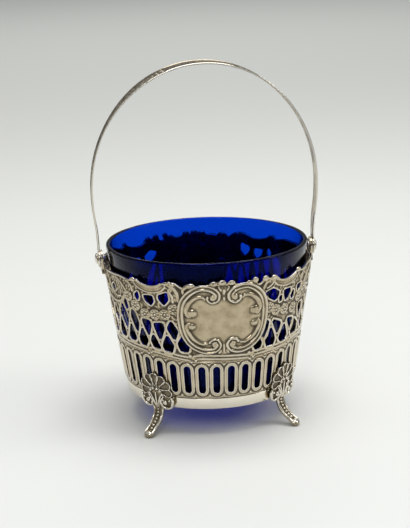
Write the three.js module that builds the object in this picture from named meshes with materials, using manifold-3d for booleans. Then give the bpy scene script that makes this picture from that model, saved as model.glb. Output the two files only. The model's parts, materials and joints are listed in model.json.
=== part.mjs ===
// Pierced silver basket for sugar or sweets, with a lift-out blue glass liner, a swing handle and
// four cast shell feet. Millimetres, +Z up. The origin is on the table under the middle of the
// basket, the front faces -Y and the handle turns about a line along X.

import * as THREE from 'three';
import { mergeVertices } from 'three/addons/utils/BufferGeometryUtils.js';
import Module from 'manifold-3d';

const wasm = await Module();
wasm.setup();

// Glass liner
const rimRadius = 55;
const rimHeight = 96.7;
const glassWall = 2.4;
const glassFloor = 5;
const glassTaper = 0.15;
const baseRound = 2.5;

// Fits between the pieces
const linerGap = 2.2;
const solderGap = 0.3;
const turningGap = 0.3;

// Silver wall, struck as two half panels
const sheet = 0.9;
const relief = 1.05;
const lowRelief = 0.45;
const wallTop = 88;
const topScrollWidth = 3;
const curlRadius = 2;
const flowerRadius = 2.45;
const openingRadius = 2.6;

// Foot band with the inturned ledge that carries the glass
const bandFoot = 15.1;
const bandTop = 21.3;
const bandThickness = 1.4;
const ledgeReach = 7;
const ledgeThickness = 1.4;

// Gallery of upright slots round the foot of the wall
const slotsPerPanel = 20;
const slotWidth = 3.8;
const slotFoot = 24.5;
const slotTop = 39.8;
const frameMargin = 1.85;

// Reeded border over the gallery, which rises towards the sides
const borderFoot = 42.6;
const borderHeight = 3.9;
const borderLift = 3;
const reedWidth = 1.5;

// Lattice of crossed bars: drops with their points up, and kites hanging between them
const latticeStart = 23;
const latticePitch = 9.45;
const latticeColumns = 7;
const dropRadius = 2.6;
const dropHeight = 9.2;
const dropSill = 1.3;
const latticeOverlap = 2.4;
const kiteWidth = 5;
const kiteHeight = 8.6;
const kiteRise = 4.2;

// Cartouche
const cartoucheHalfWidth = 23.4;
const cartoucheFoot = 48;
const cartoucheHead = 85.3;
const scrollWidth = 2.3;
const innerScrollWidth = 1.6;
const scrollEyeRadius = 1.8;

// Hinge at each side
const hingeHeight = 89.5;
const earThickness = 1;
const earRadius = 4.7;
const earFootWidth = 13;
const earFootHeight = 79;
const rivetRadius = 1.6;
const rivetHeadRadius = 3;
const rivetHeadHeight = 1.4;
const rivetTailRadius = 2.4;
const rivetTailHeight = 0.8;

// Swing handle, a bowed strip that is widest at the top
const handleHeight = 193.2;
const handleBulge = 2.15;
const handleShoulder = 126;
const handleThickness = 1.2;
const eyeRadius = 4.8;
const stripWidthAtEye = 5;
const stripWidthAtSide = 7.5;
const stripWidthAtTop = 15;
const handleSteps = 28;

// Cast shell feet
const footAngles = { front_left: -45, front_right: 45, back_right: 135, back_left: 225 };
const shellCentre = 24.6;
const petalCount = 7;
const petalSpread = 196;
const petalLength = 10;
const petalWidth = 5.6;
const petalThickness = 1.9;
const dishDepth = 1.1;
const heartRadius = 3.2;
const voluteRadius = 3.2;
const voluteReach = 5.8;
const voluteDrop = 6.6;
const toeReach = 58.4;
const toeWidth = 5.6;
const toeHeight = 3.6;
const ankleHeight = 10.8;
const ankleTuck = 0.5;
const kneeWidth = 8;
const ankleWidth = 6;
const instepWidth = 5.4;
const instepHeight = 4.2;
const legThickness = 2.3;
const shellGap = 0.6;

const roundSegments = 44;
const degree = Math.PI / 180;
const silver = new THREE.MeshStandardMaterial({ color: 0xc4bba4, metalness: 1, roughness: 0.32 });
const polishedSilver = new THREE.MeshStandardMaterial({ color: 0xd2cbb8, metalness: 1, roughness: 0.18 });
const blueGlass = new THREE.MeshStandardMaterial({
  color: 0x0a1ea8, metalness: 0, roughness: 0.06, transparent: true, opacity: 0.6,
});

// Sizes that follow from the ones above
const seatHeight = bandFoot + ledgeThickness;
const glassFoot = seatHeight + solderGap;
const panelFoot = bandTop + solderGap;
const earInner = wallRadius(wallTop) + solderGap;
const earOuter = earInner + earThickness;
const eyeInner = earOuter + turningGap;
const eyeMiddle = eyeInner + handleThickness / 2;
const eyeOuter = eyeInner + handleThickness;
const bowHalfWidth = eyeMiddle + handleBulge;
const bowTop = handleHeight - handleThickness / 2;
const friezeFoot = borderFoot + borderHeight;
const patternMiddle = (panelFoot + wallTop) / 2;
const millimetresPerDegree = wallRadius(patternMiddle) * degree;

function glassRadius(z) {
  return rimRadius - glassTaper * (rimHeight - z);
}

function wallRadius(z) {
  return glassRadius(z) + linerGap + sheet;
}

function across(angle) {
  return angle * millimetresPerDegree;
}

// Closed triangle list with shared corners, no slivers of no width and faces pointing out
function welded(geometry) {
  const bare = geometry.index ? geometry.toNonIndexed() : geometry.clone();
  bare.deleteAttribute('normal');
  bare.deleteAttribute('uv');
  const merged = mergeVertices(bare, 1e-4);
  const corners = merged.index.array;
  const kept = [];
  for (let i = 0; i < corners.length; i += 3) {
    const [a, b, c] = [corners[i], corners[i + 1], corners[i + 2]];
    if (a !== b && b !== c && c !== a) kept.push(a, b, c);
  }
  if (signedVolume(merged.attributes.position, kept) < 0) kept.reverse();
  merged.setIndex(kept);
  return merged;
}

function signedVolume(position, corners) {
  const [a, b, c] = [new THREE.Vector3(), new THREE.Vector3(), new THREE.Vector3()];
  let volume = 0;
  for (let i = 0; i < corners.length; i += 3) {
    a.fromBufferAttribute(position, corners[i]);
    b.fromBufferAttribute(position, corners[i + 1]);
    c.fromBufferAttribute(position, corners[i + 2]);
    volume += a.dot(b.cross(c)) / 6;
  }
  return volume;
}

function solid(geometry) {
  const closed = welded(geometry);
  return new wasm.Manifold(new wasm.Mesh({
    numProp: 3,
    vertProperties: closed.attributes.position.array,
    triVerts: new Uint32Array(closed.index.array),
  }));
}

function geometryOf(body) {
  const mesh = body.getMesh();
  const geometry = new THREE.BufferGeometry();
  geometry.setAttribute('position', new THREE.BufferAttribute(Float32Array.from(mesh.vertProperties), 3));
  geometry.setIndex(Array.from(mesh.triVerts));
  return geometry;
}

function joined(bodies) {
  return bodies.reduce((whole, body) => whole.add(body));
}

// Moves every corner of a geometry to the place that the rule gives for it
function bend(geometry, rule) {
  const position = geometry.attributes.position;
  const corner = new THREE.Vector3();
  for (let i = 0; i < position.count; i += 1) {
    corner.fromBufferAttribute(position, i);
    rule(corner);
    position.setXYZ(i, corner.x, corner.y, corner.z);
  }
  return geometry;
}

// Rolls flat work round the wall: x runs round it, y is the height and z stands out from the sheet
function rolled(geometry) {
  return bend(geometry, (corner) => {
    const angle = (corner.x / millimetresPerDegree) * degree;
    const radius = wallRadius(corner.y) + corner.z;
    corner.set(radius * Math.sin(angle), -radius * Math.cos(angle), corner.y);
  });
}

function slab(shape, from, to, curveSegments = 2) {
  const geometry = new THREE.ExtrudeGeometry(shape, { depth: to - from, bevelEnabled: false, curveSegments });
  return solid(geometry.translate(0, 0, from));
}

function stadium(x, foot, top, width) {
  const radius = width / 2;
  const shape = new THREE.Shape();
  shape.moveTo(x + radius, foot + radius);
  shape.absarc(x, top - radius, radius, 0, Math.PI, false);
  shape.absarc(x, foot + radius, radius, Math.PI, 2 * Math.PI, false);
  return shape;
}

// A drop with its round end at one height and its point at another, above or below it
function drop(x, roundEnd, point, radius) {
  const up = Math.sign(point - roundEnd);
  const middle = roundEnd + up * radius;
  const lean = Math.asin(Math.min(radius / Math.abs(point - middle), 0.95));
  const start = up > 0 ? Math.PI - lean : -lean;
  const shape = new THREE.Shape();
  shape.moveTo(x, point);
  shape.lineTo(x + radius * Math.cos(start), middle + radius * Math.sin(start));
  shape.absarc(x, middle, radius, start, start + Math.PI + 2 * lean, false);
  return shape;
}

// A kite with its long point down and a narrow flat head
function kite(x, foot, top, width) {
  const shoulder = THREE.MathUtils.lerp(foot, top, 0.66);
  const shape = new THREE.Shape();
  shape.moveTo(x, foot);
  shape.lineTo(x + width / 2, shoulder);
  shape.lineTo(x + width / 4, top);
  shape.lineTo(x - width / 4, top);
  shape.lineTo(x - width / 2, shoulder);
  return shape;
}

// A raised rib along a line drawn through [angle, height] pairs, with its foot let into the sheet
function rib(stations, width, steps, crest = 0.45) {
  const route = new THREE.CatmullRomCurve3(stations.map(
    ([angle, z]) => new THREE.Vector3(across(angle), z, 0),
  ));
  const section = new THREE.Shape();
  section.moveTo(sheet / 2, -width / 2);
  section.lineTo(-relief, (-width * crest) / 2);
  if (crest > 0) section.lineTo(-relief, (width * crest) / 2);
  section.lineTo(sheet / 2, width / 2);
  return solid(new THREE.ExtrudeGeometry(section, { steps, extrudePath: route }));
}

// A low round boss with a dished top, for flower heads and the eyes of scrolls
function boss(angle, z, radius, height = relief) {
  const buried = -sheet / 2;
  const profile = [
    new THREE.Vector2(0, buried),
    new THREE.Vector2(radius, buried),
    new THREE.Vector2(radius * 0.6, height),
    new THREE.Vector2(0, height * 0.7),
  ];
  const geometry = new THREE.LatheGeometry(profile, 6);
  geometry.rotateX(Math.PI / 2);
  return solid(geometry.translate(across(angle), z, 0));
}

function mirroredPairs(list, make) {
  return [-1, 1].flatMap((side) => list.map((entry) => make(side, entry)));
}

function liftAt(angle) {
  return borderLift * THREE.MathUtils.smoothstep(Math.abs(angle), 15, 58);
}

// Height of a share of the frieze, which runs from the border at 0 to the top of the wall at 1
function inFrieze(share) {
  return THREE.MathUtils.lerp(friezeFoot, wallTop, share);
}

// Everything above the scalloped top edge, which is cut away
function topCut() {
  const half = [
    [0, 0.976], [3.5, 0.964], [7, 0.942], [15.5, 0.959], [20, 0.92], [24, 0.952], [28, 0.973],
    [31.5, 0.961], [36, 0.923], [41, 0.908], [46, 0.928], [50.5, 0.964], [54.5, 0.942], [60, 0.969],
    [70, 0.988], [82, 0.976],
  ];
  const left = half.slice(1).reverse().map(([angle, share]) => [-angle, share]);
  const edge = [...left, ...half].map(([angle, share]) => new THREE.Vector2(across(angle), inFrieze(share)));
  const end = across(95);
  const earDip = hingeHeight - rivetTailRadius - 2 * solderGap;
  const earDipStart = across(90) - rivetTailRadius;
  const shape = new THREE.Shape();
  shape.moveTo(end, 1.1 * wallTop);
  shape.lineTo(-end, 1.1 * wallTop);
  shape.lineTo(-end, earDip);
  shape.lineTo(-earDipStart, earDip);
  shape.lineTo(edge[0].x, edge[0].y);
  shape.splineThru(edge.slice(1));
  shape.lineTo(earDipStart, earDip);
  shape.lineTo(end, earDip);
  return slab(shape, -2 * sheet, 2 * relief, 1);
}

function slotAngles() {
  const pitch = 180 / slotsPerPanel;
  return Array.from({ length: slotsPerPanel }, (unused, i) => -90 + pitch * (i + 0.5));
}

function slotFrames() {
  return slotAngles().map((angle) => {
    const top = slotTop + frameMargin + liftAt(angle);
    const width = slotWidth + 1.7 * frameMargin;
    return slab(stadium(across(angle), slotFoot - frameMargin, top, width), -sheet / 2, lowRelief);
  });
}

function slots() {
  return slotAngles().map((angle) => slab(
    stadium(across(angle), slotFoot, slotTop + liftAt(angle), slotWidth), -2 * sheet, 2 * relief,
  ));
}

function reeds() {
  return [reedWidth / 2, borderHeight - reedWidth / 2].map((offset) => {
    const stations = [];
    for (let angle = -84; angle <= 84; angle += 12) {
      stations.push([angle, borderFoot + offset + liftAt(angle)]);
    }
    return rib(stations, reedWidth, stations.length - 1, 0);
  });
}

function latticeDrops() {
  const cuts = [];
  for (let i = 0; i < latticeColumns; i += 1) {
    const lowAngle = latticeStart + latticePitch * i;
    const highAngle = lowAngle + latticePitch / 2;
    const sill = friezeFoot + dropSill + liftAt(lowAngle);
    const point = sill + dropHeight;
    const kiteFoot = point - latticeOverlap;
    const kiteTop = kiteFoot + kiteHeight + kiteRise * THREE.MathUtils.smoothstep(highAngle, 42, 66);
    for (const side of [-1, 1]) {
      cuts.push(drop(across(side * lowAngle), sill, point, dropRadius));
      if (highAngle < 85) cuts.push(kite(across(side * highAngle), kiteFoot, kiteTop, kiteWidth));
    }
  }
  return cuts.map((shape) => slab(shape, -2 * sheet, 2 * relief));
}

// Openings between the flower garland and the scrolled top edge: angle, top, point and relative size
function upperOpenings() {
  const openings = [
    [31, 0.814, 0.667, 1], [41, 0.757, 0.639, 0.85], [50.5, 0.783, 0.687, 0.55], [71.5, 0.798, 0.696, 0.6],
  ];
  const cuts = mirroredPairs(openings, (side, [angle, top, point, size]) => (
    drop(across(side * angle), inFrieze(top), inFrieze(point), openingRadius * size)
  ));
  return cuts.map((shape) => slab(shape, -2 * sheet, 2 * relief));
}

function garland() {
  const flowers = [[27.6, 0.6], [33, 0.537], [39, 0.518], [46.3, 0.508], [52.7, 0.571], [58, 0.639]];
  return mirroredPairs(flowers, (side, [angle, share]) => boss(side * angle, inFrieze(share), flowerRadius));
}

function topScrolls() {
  const curls = [[17.5, 0.913], [25.6, 0.916], [53.4, 0.875]];
  const ribs = [
    [[31, 0.918], [35.5, 0.875], [41, 0.855], [46.5, 0.875], [50.8, 0.916]],
    [[57.5, 0.911], [64, 0.933], [72, 0.942], [79, 0.93]],
    [[24.5, 0.807], [26.5, 0.735], [30, 0.653]],
  ];
  const placed = (side, [angle, share]) => [side * angle, inFrieze(share)];
  return [
    ...mirroredPairs(curls, (side, curl) => boss(...placed(side, curl), curlRadius)),
    ...mirroredPairs(ribs, (side, stations) => (
      rib(stations.map((station) => placed(side, station)), topScrollWidth, 5)
    )),
  ];
}

// The raised plain field with its frame of C-scrolls
function cartouche() {
  const halfAngle = cartoucheHalfWidth / millimetresPerDegree;
  const middle = (cartoucheFoot + cartoucheHead) / 2;
  const halfHeight = (cartoucheHead - cartoucheFoot) / 2;
  const field = new THREE.Shape().absellipse(0, middle, cartoucheHalfWidth, halfHeight, 0, 2 * Math.PI);
  const at = (side, x, y) => [side * x * halfAngle, middle + y * halfHeight];
  const outer = [
    [0.17, 0.8], [0.36, 0.96], [0.75, 0.74], [0.95, 0.3], [0.95, -0.18], [0.74, -0.72],
    [0.42, -0.95], [0.17, -0.78],
  ];
  const inner = [[0.72, -0.14], [0.79, -0.36], [0.62, -0.66], [0.36, -0.72]];
  const shoulder = [[0.66, 0.26], [0.74, 0.5], [0.5, 0.76], [0.34, 0.78]];
  const eyes = [[0.19, 0.72], [0.17, -0.72], [0.68, 0.26], [0.7, -0.16]];
  const routes = [[outer, scrollWidth, 11], [inner, innerScrollWidth, 4], [shoulder, innerScrollWidth, 3]];
  return [
    slab(field, -sheet, relief, 8).intersect(plate(-sheet / 2, lowRelief)),
    ...mirroredPairs(routes, (side, [route, width, steps]) => (
      rib(route.map(([x, y]) => at(side, x, y)), width, steps)
    )),
    ...mirroredPairs(eyes, (side, [x, y]) => boss(...at(side, x, y), scrollEyeRadius)),
    boss(...at(1, 0, -0.93), scrollEyeRadius),
    boss(...at(1, 0, 0.97), scrollEyeRadius),
  ];
}

// Flat plate over the whole panel, in upright strips that meet on the webs between the slots, so that it
// follows the wall's curve once it is rolled
function plate(from, to) {
  const height = wallTop - panelFoot;
  const blank = new THREE.BoxGeometry(across(180) - solderGap, height, to - from, slotsPerPanel, 1, 1);
  return solid(blank.translate(0, panelFoot + height / 2, (from + to) / 2));
}

// One pierced half of the wall, worked flat and then rolled to the cone
function panelGeometry() {
  const raised = [
    plate(-sheet, 0), ...slotFrames(), ...reeds(), ...cartouche(), ...garland(), ...topScrolls(),
  ];
  const cuts = [topCut(), ...slots(), ...latticeDrops(), ...upperOpenings()];
  return rolled(geometryOf(joined(raised).subtract(joined(cuts))));
}

function turned(profile, segments) {
  const points = profile.map(([radius, z]) => new THREE.Vector2(radius, z));
  return new THREE.LatheGeometry(points, segments).rotateX(Math.PI / 2);
}

function bandGeometry() {
  const inner = (z) => wallRadius(z) - bandThickness;
  const profile = [
    [wallRadius(bandFoot), bandFoot],
    [wallRadius(bandTop), bandTop],
    [inner(bandTop), bandTop],
    [inner(seatHeight), seatHeight],
    [inner(seatHeight) - ledgeReach, seatHeight],
    [inner(seatHeight) - ledgeReach, bandFoot],
    [wallRadius(bandFoot), bandFoot],
  ];
  return welded(turned(profile, roundSegments));
}

function glassGeometry() {
  const lip = glassWall / 3;
  const profile = [
    [0, glassFoot],
    [glassRadius(glassFoot) - baseRound, glassFoot],
    [glassRadius(glassFoot + baseRound), glassFoot + baseRound],
    [glassRadius(rimHeight - lip), rimHeight - lip],
    [glassRadius(rimHeight) - lip, rimHeight],
    [glassRadius(rimHeight) - glassWall + lip / 2, rimHeight],
    [glassRadius(rimHeight - lip) - glassWall, rimHeight - lip],
    [glassRadius(glassFoot + glassFloor + baseRound) - glassWall, glassFoot + glassFloor + baseRound],
    [glassRadius(glassFoot + glassFloor) - glassWall - baseRound, glassFoot + glassFloor],
    [0, glassFoot + glassFloor],
  ];
  return welded(turned(profile, roundSegments));
}

// The line along the middle of the handle strip, drawn in the XZ plane
function handleLine() {
  const line = new THREE.Path();
  const straightTop = hingeHeight + eyeRadius + turningGap;
  const between = (straightTop + handleShoulder) / 2;
  line.moveTo(eyeMiddle, hingeHeight);
  line.lineTo(eyeMiddle, straightTop);
  line.bezierCurveTo(eyeMiddle, between, bowHalfWidth, between, bowHalfWidth, handleShoulder);
  line.absellipse(0, handleShoulder, bowHalfWidth, bowTop - handleShoulder, 0, Math.PI, false);
  line.bezierCurveTo(-bowHalfWidth, between, -eyeMiddle, between, -eyeMiddle, straightTop);
  line.lineTo(-eyeMiddle, hingeHeight);
  return line;
}

function stripWidth(z) {
  const rise = handleHeight - handleShoulder;
  const side = THREE.MathUtils.smoothstep(z, hingeHeight + eyeRadius, hingeHeight + 4.5 * eyeRadius);
  const top = THREE.MathUtils.smoothstep(z, handleShoulder + 0.48 * rise, handleShoulder + 0.94 * rise);
  return stripWidthAtEye
    + (stripWidthAtSide - stripWidthAtEye) * side
    + (stripWidthAtTop - stripWidthAtSide) * top;
}

function alongX(radius, from, to, segments) {
  const geometry = new THREE.CylinderGeometry(radius, radius, Math.abs(to - from), segments);
  return geometry.rotateZ(Math.PI / 2).translate((from + to) / 2, 0, hingeHeight);
}

function handleGeometry() {
  const line = handleLine();
  const strip = new THREE.BoxGeometry(1, 1, 1, 2, 1, handleSteps);
  bend(strip, (corner) => {
    const share = Math.min(Math.max(corner.z + 0.5, 0), 1);
    const middle = line.getPointAt(share);
    const tangent = line.getTangentAt(share);
    const offset = corner.y * handleThickness;
    corner.set(middle.x + tangent.y * offset, corner.x * stripWidth(middle.y), middle.y - tangent.x * offset);
  });
  const parts = [solid(strip)];
  const holes = [];
  for (const side of [-1, 1]) {
    parts.push(solid(alongX(eyeRadius, side * eyeInner, side * eyeOuter, 18)));
    holes.push(solid(alongX(rivetRadius + turningGap, side * (eyeInner - 1), side * (eyeOuter + 1), 12)));
  }
  return geometryOf(joined(parts).subtract(joined(holes)));
}

// A lug behind each end of the handle, on the outside of the wall; this one is on the +X side
function earGeometry() {
  const outline = new THREE.Shape();
  outline.moveTo(-earFootWidth / 2, earFootHeight);
  outline.lineTo(earFootWidth / 2, earFootHeight);
  outline.quadraticCurveTo(earRadius, (earFootHeight + hingeHeight) / 2, earRadius, hingeHeight);
  outline.absarc(0, hingeHeight, earRadius, 0, Math.PI, false);
  outline.quadraticCurveTo(-earRadius, (earFootHeight + hingeHeight) / 2, -earFootWidth / 2, earFootHeight);
  const depth = 4 * earThickness;
  const plate = new THREE.ExtrudeGeometry(outline, { depth, bevelEnabled: false, curveSegments: 5 });
  plate.rotateX(Math.PI / 2).rotateZ(Math.PI / 2).translate(earOuter - depth, 0, 0);
  const low = earFootHeight - 2;
  const seat = [
    [0, low],
    [wallRadius(low) + solderGap, low],
    [earInner, wallTop],
    [earInner, hingeHeight + 2 * earRadius],
    [0, hingeHeight + 2 * earRadius],
  ];
  const hole = alongX(rivetRadius + turningGap, earInner - 2, earOuter + 1, 12);
  return geometryOf(solid(plate).subtract(solid(turned(seat, 90))).subtract(solid(hole)));
}

// Shank with a domed head outside the handle and a flat tail inside the lug, on the +X side
function rivetGeometry() {
  const tailOuter = earInner - turningGap;
  const headInner = eyeOuter + turningGap;
  const headTop = headInner + rivetHeadHeight;
  const profile = [
    [0, tailOuter - rivetTailHeight],
    [rivetTailRadius, tailOuter - rivetTailHeight],
    [rivetTailRadius, tailOuter],
    [rivetRadius, tailOuter],
    [rivetRadius, headInner],
    [rivetHeadRadius, headInner],
    [rivetHeadRadius * 0.82, headInner + rivetHeadHeight * 0.6],
    [rivetHeadRadius * 0.42, headInner + rivetHeadHeight * 0.92],
    [0, headTop],
  ];
  return welded(turned(profile, 12).rotateY(Math.PI / 2).translate(0, 0, hingeHeight));
}

function ball(halfWidth, halfLength, halfDepth, rings = 4) {
  return new THREE.SphereGeometry(1, 6, rings).scale(halfWidth, halfLength, halfDepth);
}

// Fan of dished petals with two scroll eyes under it, worked flat and rolled onto the wall
function shellSolid() {
  const back = lowRelief + shellGap;
  const crest = back + petalThickness;
  const petals = [];
  const dishes = [];
  for (let i = 0; i < petalCount; i += 1) {
    const turn = (i / (petalCount - 1) - 0.5) * petalSpread;
    const petal = ball(petalWidth / 2, petalLength / 2, petalThickness).translate(0, petalLength / 2, back);
    const dish = ball(0.3 * petalWidth, 0.28 * petalLength, dishDepth, 2);
    dish.translate(0, 0.58 * petalLength, crest);
    petals.push(solid(petal.rotateZ(-turn * degree).translate(0, shellCentre, 0)));
    dishes.push(solid(dish.rotateZ(-turn * degree).translate(0, shellCentre, 0)));
  }
  for (const side of [-1, 1]) {
    const volute = ball(voluteRadius, voluteRadius, 1.15 * petalThickness);
    petals.push(solid(volute.translate(side * voluteReach, shellCentre - voluteDrop, back)));
  }
  const heart = ball(heartRadius, voluteDrop, 1.2 * petalThickness);
  petals.push(solid(heart.translate(0, shellCentre - voluteDrop / 2, back)));
  const front = new THREE.BoxGeometry(4 * petalLength, 4 * petalLength, 4 * petalThickness);
  front.translate(0, shellCentre, back + 2 * petalThickness);
  const flat = joined(petals).subtract(joined(dishes)).intersect(solid(front));
  return solid(rolled(geometryOf(flat)));
}

// The leg curls in under the shell, narrows at the ankle and kicks out to the toe
function legSolid() {
  const knee = shellCentre - voluteDrop;
  const shin = wallRadius(knee) + lowRelief + shellGap + legThickness / 2;
  const line = new THREE.CatmullRomCurve3([
    new THREE.Vector3(0, -shin, knee),
    new THREE.Vector3(0, -(shin - ankleTuck), 1.3 * ankleHeight),
    new THREE.Vector3(0, -(shin - ankleTuck / 2), ankleHeight),
    new THREE.Vector3(0, -(toeReach - 1.6 * toeWidth), 0.65 * ankleHeight),
    new THREE.Vector3(0, -(toeReach - 0.9 * toeWidth), 0.85 * instepHeight),
    new THREE.Vector3(0, -(toeReach - 0.35 * toeWidth), 0.45 * instepHeight),
  ]);
  const bar = new THREE.CylinderGeometry(1, 1, 1, 7, 6);
  bend(bar, (corner) => {
    const share = Math.min(Math.max(0.5 - corner.y, 0), 1);
    const middle = line.getPointAt(share);
    const tangent = line.getTangentAt(share);
    const width = kneeWidth
      + (ankleWidth - kneeWidth) * THREE.MathUtils.smoothstep(share, 0, 0.4)
      + (instepWidth - ankleWidth) * THREE.MathUtils.smoothstep(share, 0.5, 0.85);
    const x = (corner.x * width) / 2;
    const y = (corner.z * legThickness) / 2;
    corner.set(x, middle.y - tangent.z * y, middle.z + tangent.y * y);
  });
  const toe = new THREE.SphereGeometry(1, 8, 5).scale(toeWidth / 2, toeWidth / 2, toeHeight * 0.6);
  toe.translate(0, -(toeReach - toeWidth / 2), toeHeight * 0.4);
  return solid(bar).add(solid(toe));
}

function footGeometry() {
  const ground = new THREE.BoxGeometry(toeReach, toeReach, toeHeight);
  ground.translate(0, -toeReach, -toeHeight / 2);
  return geometryOf(shellSolid().add(legSolid()).subtract(solid(ground)));
}

const basket = new THREE.Group();

function place(name, geometry, material, turn = 0) {
  const mesh = new THREE.Mesh(geometry, material.clone());
  mesh.name = name;
  mesh.rotation.z = turn * degree;
  basket.add(mesh);
}

const panel = panelGeometry();
place('front_panel', panel, silver);
place('back_panel', panel, silver, 180);
place('foot_band', bandGeometry(), polishedSilver);

const foot = footGeometry();
for (const [corner, angle] of Object.entries(footAngles)) place(`foot_${corner}`, foot, silver, angle);

const ear = earGeometry();
place('ear_right', ear, silver);
place('ear_left', ear, silver, 180);

const rivet = rivetGeometry();
place('rivet_right', rivet, polishedSilver);
place('rivet_left', rivet, polishedSilver, 180);

place('handle', handleGeometry(), silver);
place('glass_liner', glassGeometry(), blueGlass);

export default basket;
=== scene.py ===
import json
import math

import bmesh
import bpy
import numpy as np
from mathutils import Matrix, Vector


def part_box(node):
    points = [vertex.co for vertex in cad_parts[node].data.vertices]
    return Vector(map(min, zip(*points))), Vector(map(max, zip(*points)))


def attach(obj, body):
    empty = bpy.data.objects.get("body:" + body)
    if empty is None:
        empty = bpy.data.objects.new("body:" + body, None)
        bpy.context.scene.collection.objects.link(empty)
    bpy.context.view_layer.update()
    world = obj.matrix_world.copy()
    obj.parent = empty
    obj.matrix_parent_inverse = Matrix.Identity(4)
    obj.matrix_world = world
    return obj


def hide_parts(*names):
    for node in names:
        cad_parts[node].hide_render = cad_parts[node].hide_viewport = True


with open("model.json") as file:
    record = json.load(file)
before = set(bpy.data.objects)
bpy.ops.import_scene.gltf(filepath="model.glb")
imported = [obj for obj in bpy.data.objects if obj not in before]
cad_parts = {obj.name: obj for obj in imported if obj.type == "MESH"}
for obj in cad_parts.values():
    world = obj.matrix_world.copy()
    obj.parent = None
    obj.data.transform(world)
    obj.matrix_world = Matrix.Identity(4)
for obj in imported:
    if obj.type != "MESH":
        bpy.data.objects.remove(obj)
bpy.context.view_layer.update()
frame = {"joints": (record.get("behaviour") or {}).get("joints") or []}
scene = bpy.context.scene
mm = 0.001

# The work is drawn flat in millimetres: x runs round the wall, y is the height, z stands out from the sheet
wall = {
    "rimRadius": 55.0,
    "rimHeight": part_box("glass_liner")[1].z / mm,
    "taper": 0.15,
    "linerGap": 2.2,
    "sheet": 0.9,
    "relief": 1.6,
    "reach": 57.47,
    "foot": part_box("front_panel")[0].z / mm,
    "top": 88.0,
    "solderGap": 0.3,
}
hingeHeight = frame["joints"][0]["pos_m"][2] / mm


def glassRadius(height):
    return wall["rimRadius"] - wall["taper"] * (wall["rimHeight"] - height)


def wallRadius(height):
    return glassRadius(height) + wall["linerGap"] + wall["sheet"]


perDegree = wallRadius((wall["foot"] + wall["top"]) / 2) * math.pi / 180


def smoothStep(value, low, high):
    share = np.clip((value - low) / (high - low), 0, 1)
    return share * share * (3 - 2 * share)


eyeClosing = 0.72  # share of its radius that an eye loses as it winds in


# Lines of the relief: every knot is x, y and mostly a width, and the line runs smoothly through them
def smoothLine(knots, steps=6, closed=False):
    k = np.asarray(knots, float)
    before, after = (k[-1:], k[:2]) if closed else (2 * k[:1] - k[1:2], 2 * k[-1:] - k[-2:-1])
    padded = np.vstack([before, k, after])
    points = []
    for i in range(1, len(padded) - 2):
        a, b, c, d = padded[i - 1:i + 3]
        second, third = 2 * a - 5 * b + 4 * c - d, 3 * b - a - 3 * c + d
        for t in np.arange(steps) / steps:
            points.append(b + 0.5 * t * (c - a + t * (second + t * third)))
    if not closed:
        points.append(k[-1])
    return np.array(points)


def windIn(points, turn, radius, turns=1.1, steps=16, taper=0.4):
    # Winds the end of a line into an eye on its left (turn 1) or its right (turn -1)
    end, before = points[-1], points[-3]
    heading = math.atan2(end[1] - before[1], end[0] - before[0])
    x, y = end[0] - turn * radius * math.sin(heading), end[1] + turn * radius * math.cos(heading)
    start = heading - turn * math.pi / 2
    wound = []
    for share in np.linspace(0, 1, steps + 1)[1:]:
        angle = start + turn * 2 * math.pi * turns * share
        reach = radius * (1 - eyeClosing * share)
        wound.append([x + reach * math.cos(angle), y + reach * math.sin(angle), end[2] * (1 - taper * share)])
    return np.vstack([points, wound])


def onWall(knots):
    # Knots given as degrees round the wall, height and sometimes a width
    return [[knot[0] * perDegree, *knot[1:]] for knot in knots]


def onSide(knots, side):
    return [(side * knot[0], *knot[1:]) for knot in knots]


def bothSides(knots):
    # A line of the wall and its mirror image
    return [smoothLine(onWall(onSide(knots, side))) for side in (1, -1)]


def meshOf(thing):
    depsgraph = bpy.context.evaluated_depsgraph_get()
    return bpy.data.meshes.new_from_object(thing.evaluated_get(depsgraph), depsgraph=depsgraph)


def meshFrom(name, work):
    mesh = bpy.data.meshes.new(name)
    work.to_mesh(mesh)
    work.free()
    return mesh


def linkNew(name, data):
    thing = bpy.data.objects.new(name, data)
    scene.collection.objects.link(thing)
    bpy.context.view_layer.update()
    return thing


def takeMesh(name, data):
    thing = linkNew(name, data)
    mesh = meshOf(thing)
    bpy.data.objects.remove(thing)
    return mesh


def addSpline(data, points, closed):
    spline = data.splines.new("POLY")
    spline.points.add(len(points) - 1)
    places = np.column_stack([points[:, :2], np.zeros(len(points)), np.ones(len(points))])
    spline.points.foreach_set("co", places.ravel())
    spline.use_cyclic_u = closed
    return spline


def roundWork(lines, flatten=0.8, lift=0.0, sides=2):
    # Half-sunk wires along the lines, as wide as each point's width; a pair (line, True) is closed
    data = bpy.data.curves.new("wires", "CURVE")
    data.dimensions = "3D"
    data.bevel_depth = 0.5
    data.bevel_resolution = sides
    data.use_fill_caps = True
    for line in lines:
        points, closed = line if isinstance(line, tuple) else (line, False)
        points = np.asarray(points, float)
        addSpline(data, points, closed).points.foreach_set("radius", points[:, 2])
    mesh = takeMesh("wires", data)
    mesh.transform(Matrix.Translation((0, 0, lift)) @ Matrix.Diagonal((1, 1, flatten, 1)))
    return mesh


def flatWork(outlines, low, high, edge=0.0):
    # A plate with holes, cut out by its outlines
    data = bpy.data.curves.new("plate", "CURVE")
    data.dimensions = "2D"
    data.fill_mode = "BOTH"
    data.extrude = (high - low) / 2 - edge
    data.bevel_depth = edge
    data.bevel_resolution = 1
    data.offset = -edge
    for outline in outlines:
        addSpline(data, np.asarray(outline, float), True)
    mesh = takeMesh("plate", data)
    mesh.transform(Matrix.Translation((0, 0, (low + high) / 2)))
    return mesh


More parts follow.
